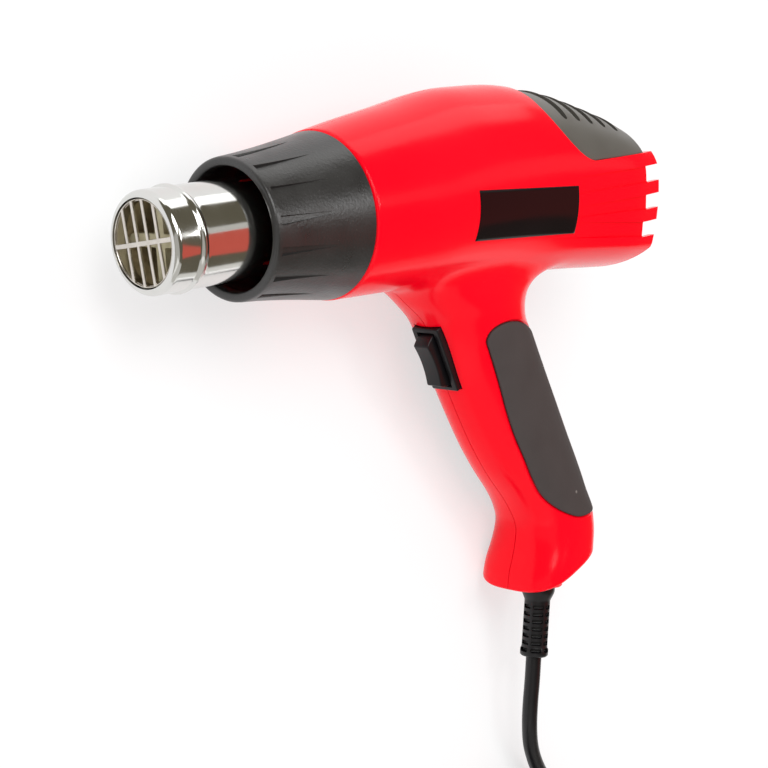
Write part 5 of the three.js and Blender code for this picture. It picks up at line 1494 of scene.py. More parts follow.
    def tail_tools(self) -> list[Piece]:
        """Makes what cuts the tail: its rounded end, the notches between prongs and the flutes before them.

        Returns:
            The tool pieces.
        """
        tail, high, low = self.barrel.tail_x, self.tail_half, -1.5 * self.tail_half
        y = np.linspace(high, low, 40)
        outline = [*np.stack([self.tip_x(y), y], -1), (tail + 60, low), (tail + 60, high)]
        tools = [prism("tail_end", np.array(outline), -FAR, FAR)]
        x = np.linspace(tail + 1, tail - self.flute_length, 30)
        sink = through([(0, -0.1), (0.4, 0.45), (0.73, 1), (1, 1)])
        depth = sink((x - x[-1]) / (x[0] - x[-1])) * self.flute_depth
        share = np.linspace(0, 1, 9)[None, :]
        for (high, low), (high_rise, low_rise) in zip(self.notches, self.flute_rise):
            notch_x = self.tip_x((low + high) / 2) - self.prong_depth
            ahead = np.maximum(notch_x - x, 0)
            under, over = low + low_rise * ahead, high + high_rise * ahead
            rows = under[:, None] * (1 - share) + over[:, None] * share
            floor = self.barrel.left(x[:, None], rows) - depth[:, None, None] * (0, 0, 1)
            flute = thick_sheet("flute", floor, floor + (0, 0, 6))
            notch = softened(block("notch", (notch_x, low, 12), (tail + 20, high, FAR)), 0.7, 3)
            tools += [flute, notch, twin(flute, "flute_right", True), twin(notch, "notch_right", True)]
        return tools

    def other_tools(self, cover: "VentCover", switch: "Switch") -> list[Piece]:
        """Makes what cuts the cover's hole, neck, switch pocket, screw holes and the boot's bore.

        Args:
            cover: The vent cover.
            switch: The switch.

        Returns:
            The tool pieces.
        """
        lead, repeats = self.lead, self.bench.repeats
        outline = cover.outline(GAP, self.barrel.tail_x + 20)
        wide, deep = self.finger_gap / 2, self.neck_x + self.finger_length
        slot = block("finger_slot", (self.neck_x - 1, -wide, self.neck_r - 7), (deep, wide, self.neck_r + 4))
        slots = repeats.evenly(slot, RED_ABS, self.fingers, first=self.finger_first, turn=360 / self.fingers)
        ring = (self.neck_inner_r - 1, self.neck_r + 1)
        lane = ring_sector("lug_lane", self.lug_lane, ring, self.lane_turn)
        entry = ring_sector("lug_entry", (self.neck_x - 1, self.entry_end), ring, self.entry_turn)
        lanes = [repeats.evenly(tool, RED_ABS, self.lugs, turn=360 / self.lugs) for tool in (lane, entry)]
        bore = rod("boot_bore", -lead.boss_seat - 1, lead.boss_out + 1, lead.boot_r + GAP, 48)
        moved(bore, lead.matrix(self.handle))
        tools = [prism("cover_hole", outline, -FAR, FAR), slots, *lanes, bore]
        tools += switch.pocket()
        for spot in self.bosses():
            tools.append(self.pin("head_hole", spot, self.head_r + GAP, -FAR, self.head_seat))
            tools.append(self.pin("screw_hole", spot, self.shank_hole_r, self.head_seat - 1, self.shank_end))
        return tools

    def build(self, cover: "VentCover", switch: "Switch", patch: PadPatch) -> None:
        """Builds and shows both halves.

        Args:
            cover: The vent cover.
            switch: The switch.
            patch: The grip pads' patch.
        """
        shell, skins = self.outside()
        self.hollow(shell)
        work(shell, Way.CUT, *self.tail_tools(), *self.other_tools(cover, switch))
        lip = self.pad_lip
        rim = [(GAP + lip + 1, 1.0), (GAP + lip, 0.0), (GAP, -lip), (GAP, -self.pad_seat)]
        recess = patch.solid("pad_recess", rim, self.pad_wrap)
        work(shell, Way.CUT, twin(recess, "pad_recess_right", True), recess)
        right = twin(shell, "housing_shell_right")
        shell.name = "housing_shell_left"
        work(shell, Way.TRIM, block("left_side", (-FAR, -2 * FAR, GAP / 2), (2 * FAR, FAR, FAR)))
        work(right, Way.TRIM, block("right_side", (-FAR, -2 * FAR, -FAR), (2 * FAR, FAR, -GAP / 2)))
        for piece, node in ((shell, "housing_left"), (right, "housing_right")):
            self.show(piece, RED_ABS, [node], skins)
        for skin in skins:
            bpy.data.objects.remove(skin)


@dataclass
class Label(Fitting):
    """The bare label film on the housing's left side."""

    barrel: Barrel
    x: float = 127.2
    y: float = -14.0
    length: float = 58.7
    height: float = 18.3
    fall: float = 4.2  # how much lower its back end lies
    lean: float = 0.9  # how far its back edge leans forwards
    proud: float = 0.2
    sunk: float = 0.3
    edge_round: float = 0.12

    def build(self) -> None:
        """Builds and shows the film."""
        u, v = np.linspace(0, 1, 50)[:, None], np.linspace(0, 1, 18)[None, :]
        x = self.x + self.length * u - self.lean * u * v
        y = self.y + self.height * v - self.fall * u
        spots = self.barrel.left(x, y)
        off = unit(np.cross(np.gradient(spots, axis=0), np.gradient(spots, axis=1)))
        off *= np.sign(off[..., 2:])
        film = thick_sheet("label_film", spots + self.proud * off, spots - self.sunk * off)
        softened(film, self.edge_round, 2, 60)
        self.show(film, LABEL_FILM)


def ring_sector(name: str, x: Pair, r: Pair, angle: Pair) -> Piece:
    """Makes a piece of a ring round the barrel axis.

    Args:
        name: Its name.
        x: Where it starts and ends along the axis.
        r: Its inner and outer radius.
        angle: Its first and last angle in degrees, from the left side downwards.

    Returns:
        The object.
    """
    turn = np.radians(np.linspace(*angle, max(4, int((angle[1] - angle[0]) / 3))))
    corners = ((x[0], r[0]), (x[0], r[1]), (x[1], r[1]), (x[1], r[0]))
    return loft(name, [[(a, -b * math.sin(t), b * math.cos(t)) for a, b in corners] for t in turn])


@dataclass
class Grips(Fitting):
    """The two soft grip pads let into the handle."""

    patch: PadPatch
    proud: float = 0.3
    thickness: float = 1.6

    def build(self, heads: Array, hole_r: float) -> None:
        """Builds and shows both pads, the right one with holes over the screw heads.

        Args:
            heads: Where the screw heads lie under it, in side view.
            hole_r: The holes' radius.
        """
        h = self.proud
        rim = [(-1.0, h), (-0.6, h - 0.04), (-0.3, h - 0.15), (-0.1, h - 0.34), (0, h - 0.6)]
        rim.append((0, h - self.thickness))
        left = self.patch.solid("grip_pad_left", rim, 0.35)
        right = twin(left, "grip_pad_right", True)
        skin = twin(right, "pad_skin")
        for spot in heads:
            work(right, Way.CUT, Housing.pin("head_way", spot, hole_r, -FAR, 0))
        self.show(left, GRIP_TPE, ["grip_left"], sharp=50)
        self.show(right, GRIP_TPE, ["grip_right"], [skin], sharp=50)
        bpy.data.objects.remove(skin)


@dataclass
class VentCover(Fitting):
    """The grey cover over the tail's top, with five louvres across it."""

    barrel: Barrel
    shelf: float = 8.6
    setback: float = 7.5
    length: float = 54.0
    slope: float = 19.5
    recess: float = 0.8
    wall: float = 2.0
    slots: int = 5
    slot_width: float = 2.6
    slot_pitch: float = 8.1
    slot_half: float = 24.2
    slot_first: float = 10.9
    louvre: float = 0.9  # how far a slat's front edge stands over the back edge before it

    @property
    def back_x(self) -> float:
        """Where the cover ends."""
        return self.barrel.tail_x - self.setback

    @property
    def first_slot(self) -> float:
        """Where the first slot starts."""
        return self.back_x - self.length + self.slot_first

    def front_edge(self, margin: float, count: int) -> Array:
        """Draws the lower part of the front edge in side view.

        Args:
            margin: How far the outline is grown.
            count: How many points.

        Returns:
            The points, from the shelf up.
        """
        front, low = self.back_x - self.length - margin, self.shelf - margin
        shelf_x = front + self.slope
        high = low + 0.41 * self.length
        return bezier((shelf_x, low), (shelf_x - 9, low), (front + 2, low + 12), (front, high), count)

    def outline(self, margin: float, back: float) -> Array:
        """Draws the whole outline in side view, grown by a margin and run out to a place at the back."""
        edge = self.front_edge(margin, 40)
        return np.concatenate([edge, [(edge[-1, 0], FAR), (back, FAR), (back, edge[0, 1])]])

    def angle_at(self, x: Any, y: Any) -> Any:
        """The angle of the barrel's upper section at a station and a height, in degrees."""
        return np.degrees(np.arcsin(np.clip(y / self.barrel.top_at(x), 0, 1)))

    def sheet(self) -> Piece:
        """Makes the cover without its slots, each slat raised at its front edge.

        Returns:
            The sheet.
        """
        barrel, back = self.barrel, self.back_x
        edge = self.front_edge(0, 60)
        upright = np.linspace(edge[-1, 1], barrel.top_at(edge[-1, 0]), 26)[1:]
        edge = np.concatenate([edge, np.c_[np.full(len(upright), edge[-1, 0]), upright]])
        edge_angle, low_back = self.angle_at(edge[:, 0], edge[:, 1]), self.angle_at(back, self.shelf)
        up, t = np.linspace(0, 1, 46), np.linspace(0, 1, 90)[None, :]
        angle_front, angle_back = (low + (90 - low) * up for low in (edge_angle[0], low_back))
        x_front = np.interp(angle_front, edge_angle, edge[:, 0])
        x = x_front[:, None] + (back - x_front)[:, None] * t
        straight = angle_front[:, None] + (angle_back - angle_front)[:, None] * t
        level = self.angle_at(x, self.shelf)
        bow = level - level[:, :1] - (level[:, -1:] - level[:, :1]) * t
        angle = straight + bow * (1 - up[:, None]) ** 2
        outer, inner = (barrel.points(x, angle, inset) for inset in (self.recess, self.recess + self.wall))
        place = (x - self.first_slot - self.slot_width / 2) / self.slot_pitch
        rise = np.where((place > 0) & (place < self.slots), 1 - place % 1, 0)
        rise = rise * (1 - smoothstep(np.abs(outer[..., 2]), self.slot_half - 4, self.slot_half + 1))
        outer[..., 1] += self.louvre * rise
        both = (np.concatenate([grid, grid[-2::-1] * (1, 1, -1)]) for grid in (outer, inner))
        return softened(thick_sheet("vent_cover_sheet", *both), 0.35, 2, 50)

    def build(self) -> None:
        """Builds and shows the cover."""
        piece = self.sheet()
        skin = twin(piece, "cover_skin")
        turn = np.linspace(0, np.pi, 9)
        half, r = self.slot_half - self.slot_width / 2, self.slot_width / 2
        end = np.stack([r * np.cos(turn), half + r * np.sin(turn)], -1)
        slot = prism("vent_slot", np.concatenate([end, -end]), 0, FAR)
        place = Matrix.Translation((self.first_slot + r, self.shelf + self.wall, 0))
        moved(slot, place @ Matrix.Rotation(-math.pi / 2, 4, "X"))
        work(piece, Way.CUT, self.bench.repeats.evenly(slot, COVER_ABS, self.slots, (self.slot_pitch, 0, 0)))
        self.show(piece, COVER_ABS, ["vent_cover"], [skin])
        bpy.data.objects.remove(skin)


# Barrel fittings


@dataclass
class Guard(Fitting):
    """The grey heat guard that twists on to the neck, with tapered grip grooves."""

    front_x: float = 36.5
    length: float = 41.5
    mouth_r: float = 21.3
    front_r: float = 24.6
    flare: float = 5.2
    power: float = 1.35
    wall: float = 1.9
    foot: float = 4.0
    seat_r: float = 23.1
    grooves: int = 15
    groove_first: float = -8.2
    groove_length: float = 27.0
    groove_width: float = 3.2
    groove_depth: float = 1.15
    groove_setback: float = 2.4
    rim_round: float = 1.3
    lugs: int = 3
    lug_span: Pair = (11.5, 8.5)  # before the guard's back
    lug_inner_r: float = 21.3
    lug_turn: Pair = (38.5, 51.5)

    def radius(self, share: Any) -> Any:
        """The outer radius at a share of the length."""
        return self.front_r + self.flare * np.asarray(share, float) ** self.power

    def build(self) -> None:
        """Builds and shows the guard."""
        x, back, q = self.front_x, self.front_x + self.length, self.rim_round
        turn = quarter(6)
        inner_round = [(x + q - q * math.sin(t), self.mouth_r + q - q * math.cos(t)) for t in turn]
        outer_round = [(x + q - q * math.cos(t), self.front_r - q + q * math.sin(t) - 0.05) for t in turn]
        shares = np.linspace(0.06, 0.985, 28)
        outer = [(x + s * self.length, float(self.radius(s))) for s in shares]
        end_r = float(self.radius(1))
        heel = [(back - 0.25, end_r - 0.05), (back, end_r - 0.4)]
        inside = np.linspace(1 - (self.foot + 1) / self.length, 0.2, 12)
        lining = [(x + s * self.length, max(float(self.radius(s)) - self.wall, self.seat_r)) for s in inside]
        profile = [
            (x + 0.12 * self.length, self.mouth_r), *inner_round, *outer_round, *outer, *heel,
            (back, self.seat_r), (back - self.foot, self.seat_r), *lining,
        ]
        piece = turned("heat_guard_ring", profile, 168)
        skin = twin(piece, "guard_skin")
        work(piece, Way.CUT, self.groove_tools())
        lug_r = float(self.radius(1 - 10 / self.length)) - self.wall + 0.6
        start, stop = (back - before for before in self.lug_span)
        lug = ring_sector("lug", (start, stop), (self.lug_inner_r, lug_r), self.lug_turn)
        work(piece, Way.JOIN, self.bench.repeats.evenly(lug, GUARD_PA, self.lugs, turn=360 / self.lugs))
        self.show(piece, GUARD_PA, ["guard_collar"], [skin], Body.GUARD)
        bpy.data.objects.remove(skin)

    def groove_tools(self) -> Piece:
        """Makes the wedges that cut the grooves.

        Returns:
            The wedges as one piece.
        """
        shares = np.linspace(self.groove_setback, self.groove_setback + self.groove_length, 12) / self.length
        rings = []
        for k, share in enumerate(shares):
            fade = 1 - k / (len(shares) - 1)
            half = 0.2 + (self.groove_width / 2 - 0.2) * fade
            floor = float(self.radius(share)) - self.groove_depth * fade + 0.12 * (1 - fade)
            bottom = max(half - 0.35 * fade, 0.1)
            at = self.front_x + share * self.length
            wide, high = half + 0.9, floor + 4
            rings.append([(at, -bottom, floor), (at, bottom, floor), (at, wide, high), (at, -wide, high)])
        groove, turn = loft("groove", rings), 360 / self.grooves
        return self.bench.repeats.evenly(groove, GUARD_PA, self.grooves, first=self.groove_first, turn=turn)


@dataclass
class Outlet(Fitting):
    """The chromed outlet tube with its rolled lip and stop bead, and the pressed grille in its mouth."""

    radius: float = 17.25
    wall: float = 0.8
    lip: float = 2.4
    bead_x: float = 11.6
    bead_half: float = 1.9
    bead_height: float = 0.9
    flange_x: float = 85.5
    flange_r: float = 22.85
    flange: float = 1.2
    grille_depth: float = 4.2
    grille_ring: float = 0.6
    sheet: float = 0.8
    cross_bar: float = 1.7
    bar: float = 1.4
    bars: int = 4
    pitch: float = 5.2
    turn: float = -7.4

    def build(self) -> None:
        """Builds and shows the tube and its grille."""
        r, lip = self.radius, self.lip
        t = quarter(12)
        roll = list(zip(lip * (1 - np.sin(t))[::-1], r - lip * (1 - np.cos(t))[::-1]))
        s = np.linspace(-1, 1, 15)
        swell = self.bead_height * (0.5 + 0.5 * np.cos(s * np.pi))
        bead = list(zip(self.bead_x + s * self.bead_half, r + swell))
        plain = [(x, r) for x in np.linspace(self.bead_x + self.bead_half + 1, self.flange_x, 10)]
        end = self.flange_x + self.flange
        inside = r - self.wall
        profile = [
            *roll, *bead, *plain, (self.flange_x, self.flange_r), (end, self.flange_r), (end, inside),
            (lip, inside), (self.wall, r - lip),
        ]
        piece = turned("outlet_tube_chromed", profile, 144)
        self.show(piece, CHROME, ["nozzle_tube"], sharp=40)
        self.grille()

    def grille(self) -> None:
        """Builds and shows the grille."""
        rim, foot, front = self.radius - self.lip - GAP, self.radius - self.wall - GAP, GAP
        deep, ring = self.grille_depth, self.grille_ring
        piece = turned(
            "outlet_grille_pressed",
            [
                (front + 0.2, rim - ring), (front, rim - ring + 0.2), (front, rim - 0.3), (front + 0.3, rim),
                (deep - self.sheet, rim), (deep - self.sheet, foot), (deep, foot), (deep, rim - self.sheet),
                (front + self.sheet, rim - self.sheet), (front + self.sheet, rim - ring),
            ],
            96,
        )
        reach = rim - ring / 2
        span, half, back = self.pitch * (self.bars - 1) / 2, self.bar / 2, front + self.sheet
        one = softened(block("bar", (front, -rim, -half - span), (back, rim, half - span)), 0.3, 2)
        uprights = self.bench.repeats.evenly(one, GRILLE_STEEL, self.bars, (0, 0, self.pitch))
        cross = slab("cross", front - 0.1, back - 0.1, (self.cross_bar / 2, reach))
        within = rod("within", -1, deep, reach, 96)
        work(uprights, Way.JOIN, softened(cross, 0.3, 2))
        work(uprights, Way.TRIM, within)
        work(piece, Way.JOIN, uprights)
        moved(piece, Matrix.Rotation(math.radians(self.turn), 4, "X"))
        self.show(piece, GRILLE_STEEL, ["outlet_grille"], sharp=45)


# Handle fittings


@dataclass
class Switch(Fitting):
    """The rocker switch in the handle's front."""

    handle: Handle
    drop: float = 60.8
    rake: float = 21.8
    bezel: Pair = (27.4, 12.9)  # length and width
    proud: float = 1.6
    sunk: float = 2.2
    case: Pair = (24.6, 10.4)
    case_depth: float = 22.0
    clear: float = 20.0  # how far its cutting blocks reach out of the handle
    rocker_width: float = 7.2
    rocker_r: float = 11.3
    nose: float = 50.0
    hollow: float = 1.0
    back: float = 2.4
    pivot_depth: float = 1.0
    pin_r: float = 1.2
    rock: float = 10.0

    @property
    def matrix(self) -> Matrix:
        """From the switch's frame, x out of the handle, to the tool's frame."""
        spot = (float(self.handle.front(self.drop)), -self.drop, 0)
        return Matrix.Translation(spot) @ Matrix.Rotation(math.pi + math.radians(self.rake), 4, "Z")

    def pocket(self) -> list[Piece]:
        """Makes the tools that cut the bezel's seat and the case's hole.

        Returns:
            The tool pieces.
        """
        bezel, case = ([side / 2 + GAP for side in size] for size in (self.bezel, self.case))
        seat = slab("bezel_seat", -self.sunk - GAP, self.clear, bezel)
        hole = slab("case_hole", -self.case_depth - GAP, self.clear, case)
        return [moved(tool, self.matrix) for tool in (seat, hole)]

    def build(self) -> None:
        """Builds and shows the switch's case and its rocker."""
        bezel, case = ([side / 2 for side in size] for size in (self.bezel, self.case))
        piece = softened(slab("switch_case", -self.sunk, self.proud, bezel), 0.7, 4)
        work(piece, Way.JOIN, slab("case", -self.case_depth, 0, case))
        w, h = self.rocker_width / 2 + GAP, self.rocker_r + GAP
        swing = self.rocker_r * math.sin(math.radians(self.rock))
        well = slab("well", -self.pivot_depth - self.back - swing - 2 * GAP, self.clear, (h, w))
        mouth = []
        for x, grow in ((self.proud - 0.5, 0.0), (self.proud + 1, 1.2)):
            a, b = h + grow, w + grow
            mouth.append([(x, -a, -b), (x, a, -b), (x, a, b), (x, -a, b)])
        work(piece, Way.CUT, well, loft("well_mouth", mouth))
        self.show(moved(piece, self.matrix), BLACK_PA, ["switch_body"])
        nose, low = math.radians(self.nose), math.pi / 2 + math.asin(self.back / self.rocker_r)
        out, down = self.rocker_r * math.cos(nose), self.rocker_r * math.sin(nose)
        inner = out - 1.33 * self.hollow
        face = bezier((out, -down), (inner, -down / 3), (inner, down / 3), (out, down), 24)
        one, two = np.linspace(nose, low, 20)[1:], np.linspace(-low, -nose, 20)[:-1]
        ends = [self.rocker_r * np.stack([np.cos(a), np.sin(a)], -1) for a in (one, two)]
        w = self.rocker_width / 2
        rocker = softened(prism("rocker_key", np.concatenate([face, *ends]), -w, w), 0.5, 4)
        reach = w + GAP + 0.7
        pin = Housing.pin("rocker_pin", (0, 0), self.pin_r, -reach, reach)
        work(rocker, Way.JOIN, pin)
        moved(rocker, self.matrix @ Matrix.Translation((-self.pivot_depth, 0, 0)))
        self.show(rocker, BLACK_PA, ["rocker"], body=Body.ROCKER)


@dataclass
class Screws(Fitting):
    """The screws that close the housing, seen from the right side."""

    head_r: float = 2.7
    head: float = 2.0
    shank_r: float = 1.45
    length: float = 14.0

    def build(self, places: Array, seat: float) -> None:
        """Builds and shows all six screws as one piece.

        Args:
            places: Where they sit in side view.
            seat: The height of the heads' undersides.
        """
        dome = [(-self.head * (0.55 + 0.45 * math.cos(a)), self.head_r * math.sin(a)) for a in quarter(6)]
        shank = [(0, self.head_r), (0, self.shank_r), (self.length - 1.5, self.shank_r), (self.length, 0)]
        screw = turned("screw", [*dome, *shank], 28)
        for half in ((0.45, 1.5), (1.5, 0.45)):
            work(screw, Way.CUT, slab("recess", -self.head - 1, -self.head + 1.1, half))
        moved(screw, Matrix.Rotation(-math.pi / 2, 4, "Y"))
        points = np.c_[places, np.full(len(places), seat)]
        piece = self.bench.repeats.at_points("housing_screws", screw, ZINC, points)
        nodes = [f"housing_screw_{k + 1}" for k in range(len(places))]
        self.show(piece, ZINC, nodes)


# Lead


@dataclass
class Boot(Fitting):
    """The slotted strain relief on the lead."""

    lead: Lead
    neck_r: float = 6.9
    flange_r: float = 8.0
    flange: float = 2.4
    rows: int = 7
    columns: int = 6
    first_turn: float = 45.0
    slot: float = 1.7
    slot_half: float = 0.42  # as a share of the boot's radius
    pitch: float = 3.0
    first: float = 8.5
    core_r: float = 3.6

    def build(self, handle: Handle) -> None:
        """Builds and shows the boot.

        Args:
            handle: The handle that it hangs from.
        """
        lead, r = self.lead, self.lead.boot_r
        start, top = -lead.boss_seat - GAP, lead.boss_out + GAP
        end = top + lead.boot_length
        neck = through([(0, self.neck_r), (1.5, self.neck_r), (6, r)])
        head = start - self.flange
        profile = [
            (head, 0), (head, self.flange_r), (start, self.flange_r), (start, r), (top, r),
            (top, self.neck_r - 0.4), *[(top + s, float(neck(s))) for s in np.linspace(0.3, 6.5, 14)],
            (end - 4.5, r), (end - 3.6, r + 0.1), (end - 2.9, r + 0.5), (end - 0.6, r + 0.5),
            (end, r - 0.1), (end, 0),
        ]
        piece = turned("cord_boot", profile, 64)
        skin = twin(piece, "boot_skin")
        wide, middle, half = self.slot_half * r, top + self.first, self.slot / 2
        slot = block("boot_slot", (middle - half, -wide, self.core_r), (middle + half, wide, 2 * r))
        softened(slot, 0.55, 3)
        column = self.bench.repeats.evenly(slot, CORD_PVC, self.rows, (self.pitch, 0, 0))
        slots = self.bench.repeats.evenly(
            column, CORD_PVC, self.columns, first=self.first_turn, turn=360 / self.columns
        )
        work(piece, Way.CUT, slots)
        moved(piece, lead.matrix(handle))
        moved(skin, lead.matrix(handle))
        self.show(piece, CORD_PVC, ["strain_relief"], [skin])
        bpy.data.objects.remove(skin)


@dataclass
class FreeLead(Fitting):
    """The free lead: down from the boot, along the bench and into a tied coil that ends in the plug."""

    lead: Lead
    route: Sequence[Triple] = (
        (-1.9, -10.8, 17), (-3.2, -19, 16), (-3.4, -29, 14.2), (-1.2, -39, 11.6), (3.2, -48.5, 9.2),
        (9, -57.5, 7.2), (15, -66.5, 5.8), (20, -76, 5.1), (23.2, -86, 4.8), (24.5, -94, 4.8),
        (24.8, -100, 4.7),
    )  # on the bench, from under the boot's end
    turns: float = 6.25
    steps: int = 40
    inner_r: float = 28.2
    pitch: float = 6.9
    lift: float = 4.7
    end_run: float = 14.0
    tie: float = 1.2
    tie_width: float = 8.0
    tie_angle: float = 135.0
    plug_boot: float = 14.0
    plug_length: float = 34.0
    plug_half: float = 7.0
    plug_round: float = 1.5
    pin_r: float = 2.3
    pin_length: float = 19.0
    pin_spacing: float = 19.0

    @property
    def coil_middle(self) -> Array:
        """The place of the coil's middle on the bench, from under the boot's end."""
        end, outer = self.route[-1], self.inner_r + self.turns / 2 * self.pitch
        return np.array([end[0] - outer, end[1] - GAP - 2 * self.lead.radius, 0.0])

    def wound(self) -> Array:
        """Winds the coil: in on the bench, up in half a turn and out again on top.

        Returns:
            Its points, with the straight run to the plug.
        """
        middle = self.turns / 2
        turn = np.linspace(0, self.turns, int(self.turns * self.steps) + 1)
        radius = self.inner_r + np.sqrt((middle - turn) ** 2 + 0.0004) * self.pitch
        climb = smoothstep(turn, middle - 0.25, middle + 0.25)
        angle = -2 * np.pi * turn
        coil = np.stack([radius * np.cos(angle), radius * np.sin(angle), self.lift + climb * self.pitch], -1)
        coil = coil + self.coil_middle
        run = coil[-1] + np.linspace(0, self.end_run, 8)[1:, None] * np.array([-1.0, 0, 0])
        return np.concatenate([coil, run])

    def build(self, handle: Handle) -> None:
        """Builds and shows the lead, its tie, its plug and the plug's pins.

        Args:
            handle: The handle that it leaves.
        """
        lead = self.lead
        frame = self.bench.matrix @ lead.matrix(handle)
        boot_end = frame @ Vector((lead.boss_out + GAP + lead.boot_length, 0, 0)) / MM
        start = frame @ Vector((lead.boss_out + 2 * GAP + lead.boot_length, 0, 0)) / MM
        origin = np.array([boot_end.x, boot_end.y, 0.0])
        first = np.array(start) - origin
        stretch = along_points(np.concatenate([[first], np.array(self.route, float)]), 6)
        line = np.concatenate([stretch, self.wound()]) + origin
        curve = bpy.data.curves.new("mains_lead", "CURVE")
        curve.dimensions, curve.bevel_depth, curve.bevel_resolution = "3D", lead.radius * MM, 5
        curve.use_fill_caps = True
        spline = curve.splines.new("POLY")
        spline.points.add(len(line) - 1)
        spline.points.foreach_set("co", np.c_[line * MM, np.ones(len(line))].ravel())
        spline.use_smooth = True
        cord = linked("mains_lead", curve)
        self.show(cord, CORD_PVC, ["cord_stretch", "cord_coil"], placed=True)
        ends = [self.plug(origin), self.pins(origin), self.strap(origin)]

    @property
    def plug_start(self) -> Array:
        """Where the plug's boot begins, from the boot's end."""
        return self.wound()[-1] + np.array([-GAP, 0, 0])

    def plug(self, origin: Array) -> Piece:
        """Builds and shows the plug.

        Args:
            origin: The boot's end over the bench.

        Returns:
            The plug.
        """
        high, boot, face = self.lift + self.pitch, self.plug_boot, self.plug_boot + self.plug_length
        q, half, neck, grip = self.plug_round, self.plug_half, 0.7 * boot, boot + 10
        nose = face - q
        corner = nose + q * np.sin(quarter(6))[1:]
        back = np.concatenate([np.linspace(0, boot, 16), np.linspace(boot, nose, 34)[1:], corner])
        wide = through([(0, 4.2), (neck, 5.0), (boot, 6.3), (grip, half), (face, half)])(back)
        tops = [(0, 4.2), (neck, 5.2), (boot, 0.6 * high), (grip, 0.86 * high), (nose, high), (face, high)]
        tall = through(tops)(back)
        square = through([(0, 2), (neck, 2), (boot, 2.4), (grip, 2.8), (face, 3.2)])(back)
        late = np.clip((back - face + q) / q, 0, 1)
        drawn = 1 - np.sqrt(1 - late**2)
        ribbed = (back > boot + 8) & (back < boot + 26)
        ribs = 0.45 * np.clip(np.sin((back - boot - 8) * 2 * np.pi / 4.5), 0, 1) * ribbed
        turn = np.radians(np.arange(0, 360, 6))[None, :]
        power = (2 / square)[:, None]
        start = self.plug_start + origin
        y = (wide - drawn - ribs)[:, None] * bent(np.cos(turn), power)
        z = (tall - drawn)[:, None] * bent(np.sin(turn), power)
        rings = np.stack([start[0] - back[:, None] + 0 * turn, start[1] + y, start[2] + z], -1)
        piece = loft("mains_plug", rings * MM)
        return self.show(piece, CORD_PVC, ["plug_body"], placed=True)

    def pins(self, origin: Array) -> Piece:
        """Builds and shows the plug's two pins.

        Args:
            origin: The boot's end over the bench.

        Returns:
            The pins as one piece.
        """
        r, length = self.pin_r, self.pin_length
        tip = [
            (length - 1.6 + 1.6 * math.sin(a), r - 0.2 - (r - 0.9) * (1 - math.cos(a)) * 0.8)
            for a in quarter(6)
        ]
        piece = turned("plug_pins", [(0, 0), (0, r), (9.6, r), (10, r - 0.2), *tip, (length, 0)], 28)
        self.bench.repeats.evenly(piece, ZINC, 2, (0, 0, self.pin_spacing))
        face = self.plug_boot + self.plug_length + GAP
        spot = self.plug_start + origin - np.array([face, 0, self.pin_spacing / 2])
        turn = Matrix.Diagonal((-1, -1, 1, 1))
        moved(piece, Matrix.Scale(MM, 4) @ Matrix.Translation(spot) @ turn)
        return self.show(piece, ZINC, ["plug_pin_1", "plug_pin_2"], placed=True)

    def strap(self, origin: Array) -> Piece:
        """Builds and shows the strap that ties the coil.

        Args:
            origin: The boot's end over the bench.

        Returns:
            The strap.
        """
        r = self.lead.radius
        wide, high = self.pitch + r + 1 + self.tie / 2, self.pitch / 2 + r + GAP + self.tie / 2
        turn = np.linspace(0, 2 * np.pi, 72, endpoint=False)
        ring = np.stack([wide * bent(np.cos(turn), 0.3), high * bent(np.sin(turn), 0.3)], -1)
        off = unit(ring * (1 / wide, 1 / high)) * self.tie / 2
        half = self.tie_width / 2
        corners = [(ring + off, -half), (ring + off, half), (ring - off, half), (ring - off, -half)]
        rows = [np.c_[flat[:, 0], np.full(len(flat), across), flat[:, 1]] for flat, across in corners]
        piece = mesh_piece("coil_strap", np.stack(rows, 1), grid_faces(len(ring), 4, True, True))
        softened(piece, 0.25, 2, 60)
        spot = self.coil_middle + origin + np.array([0, 0, self.lift + self.pitch / 2])
        place = Matrix.Translation(spot) @ Matrix.Rotation(math.radians(self.tie_angle), 4, "Z")
        out = Matrix.Translation((self.inner_r + 1.5 * self.pitch, 0, 0))
        moved(piece, Matrix.Scale(MM, 4) @ place @ out)
        return self.show(piece, BLACK_PA, ["coil_tie"], placed=True)


# Studio


@dataclass
class Lamp:
    """A softbox: where it stands, what it faces, its size and its power."""

    name: str
    place: Triple
    faces: Triple
    size: Pair
    watts: float
    colour: str = "#ffffff"

    def build(self) -> None:
        """Builds the lamp."""
        light = bpy.data.lights.new(self.name, "AREA")
        light.shape, (light.size, light.size_y) = "RECTANGLE", self.size
        light.energy, light.color = self.watts, linear(self.colour)[:3]
        lamp = linked(self.name, light)
        lamp.location = self.place
        lamp.rotation_euler = (Vector(self.faces) - Vector(self.place)).to_track_quat("-Z", "Y").to_euler()


TUBE = (-0.08, 0.08, 0.035)  # what the cards that the tube mirrors face


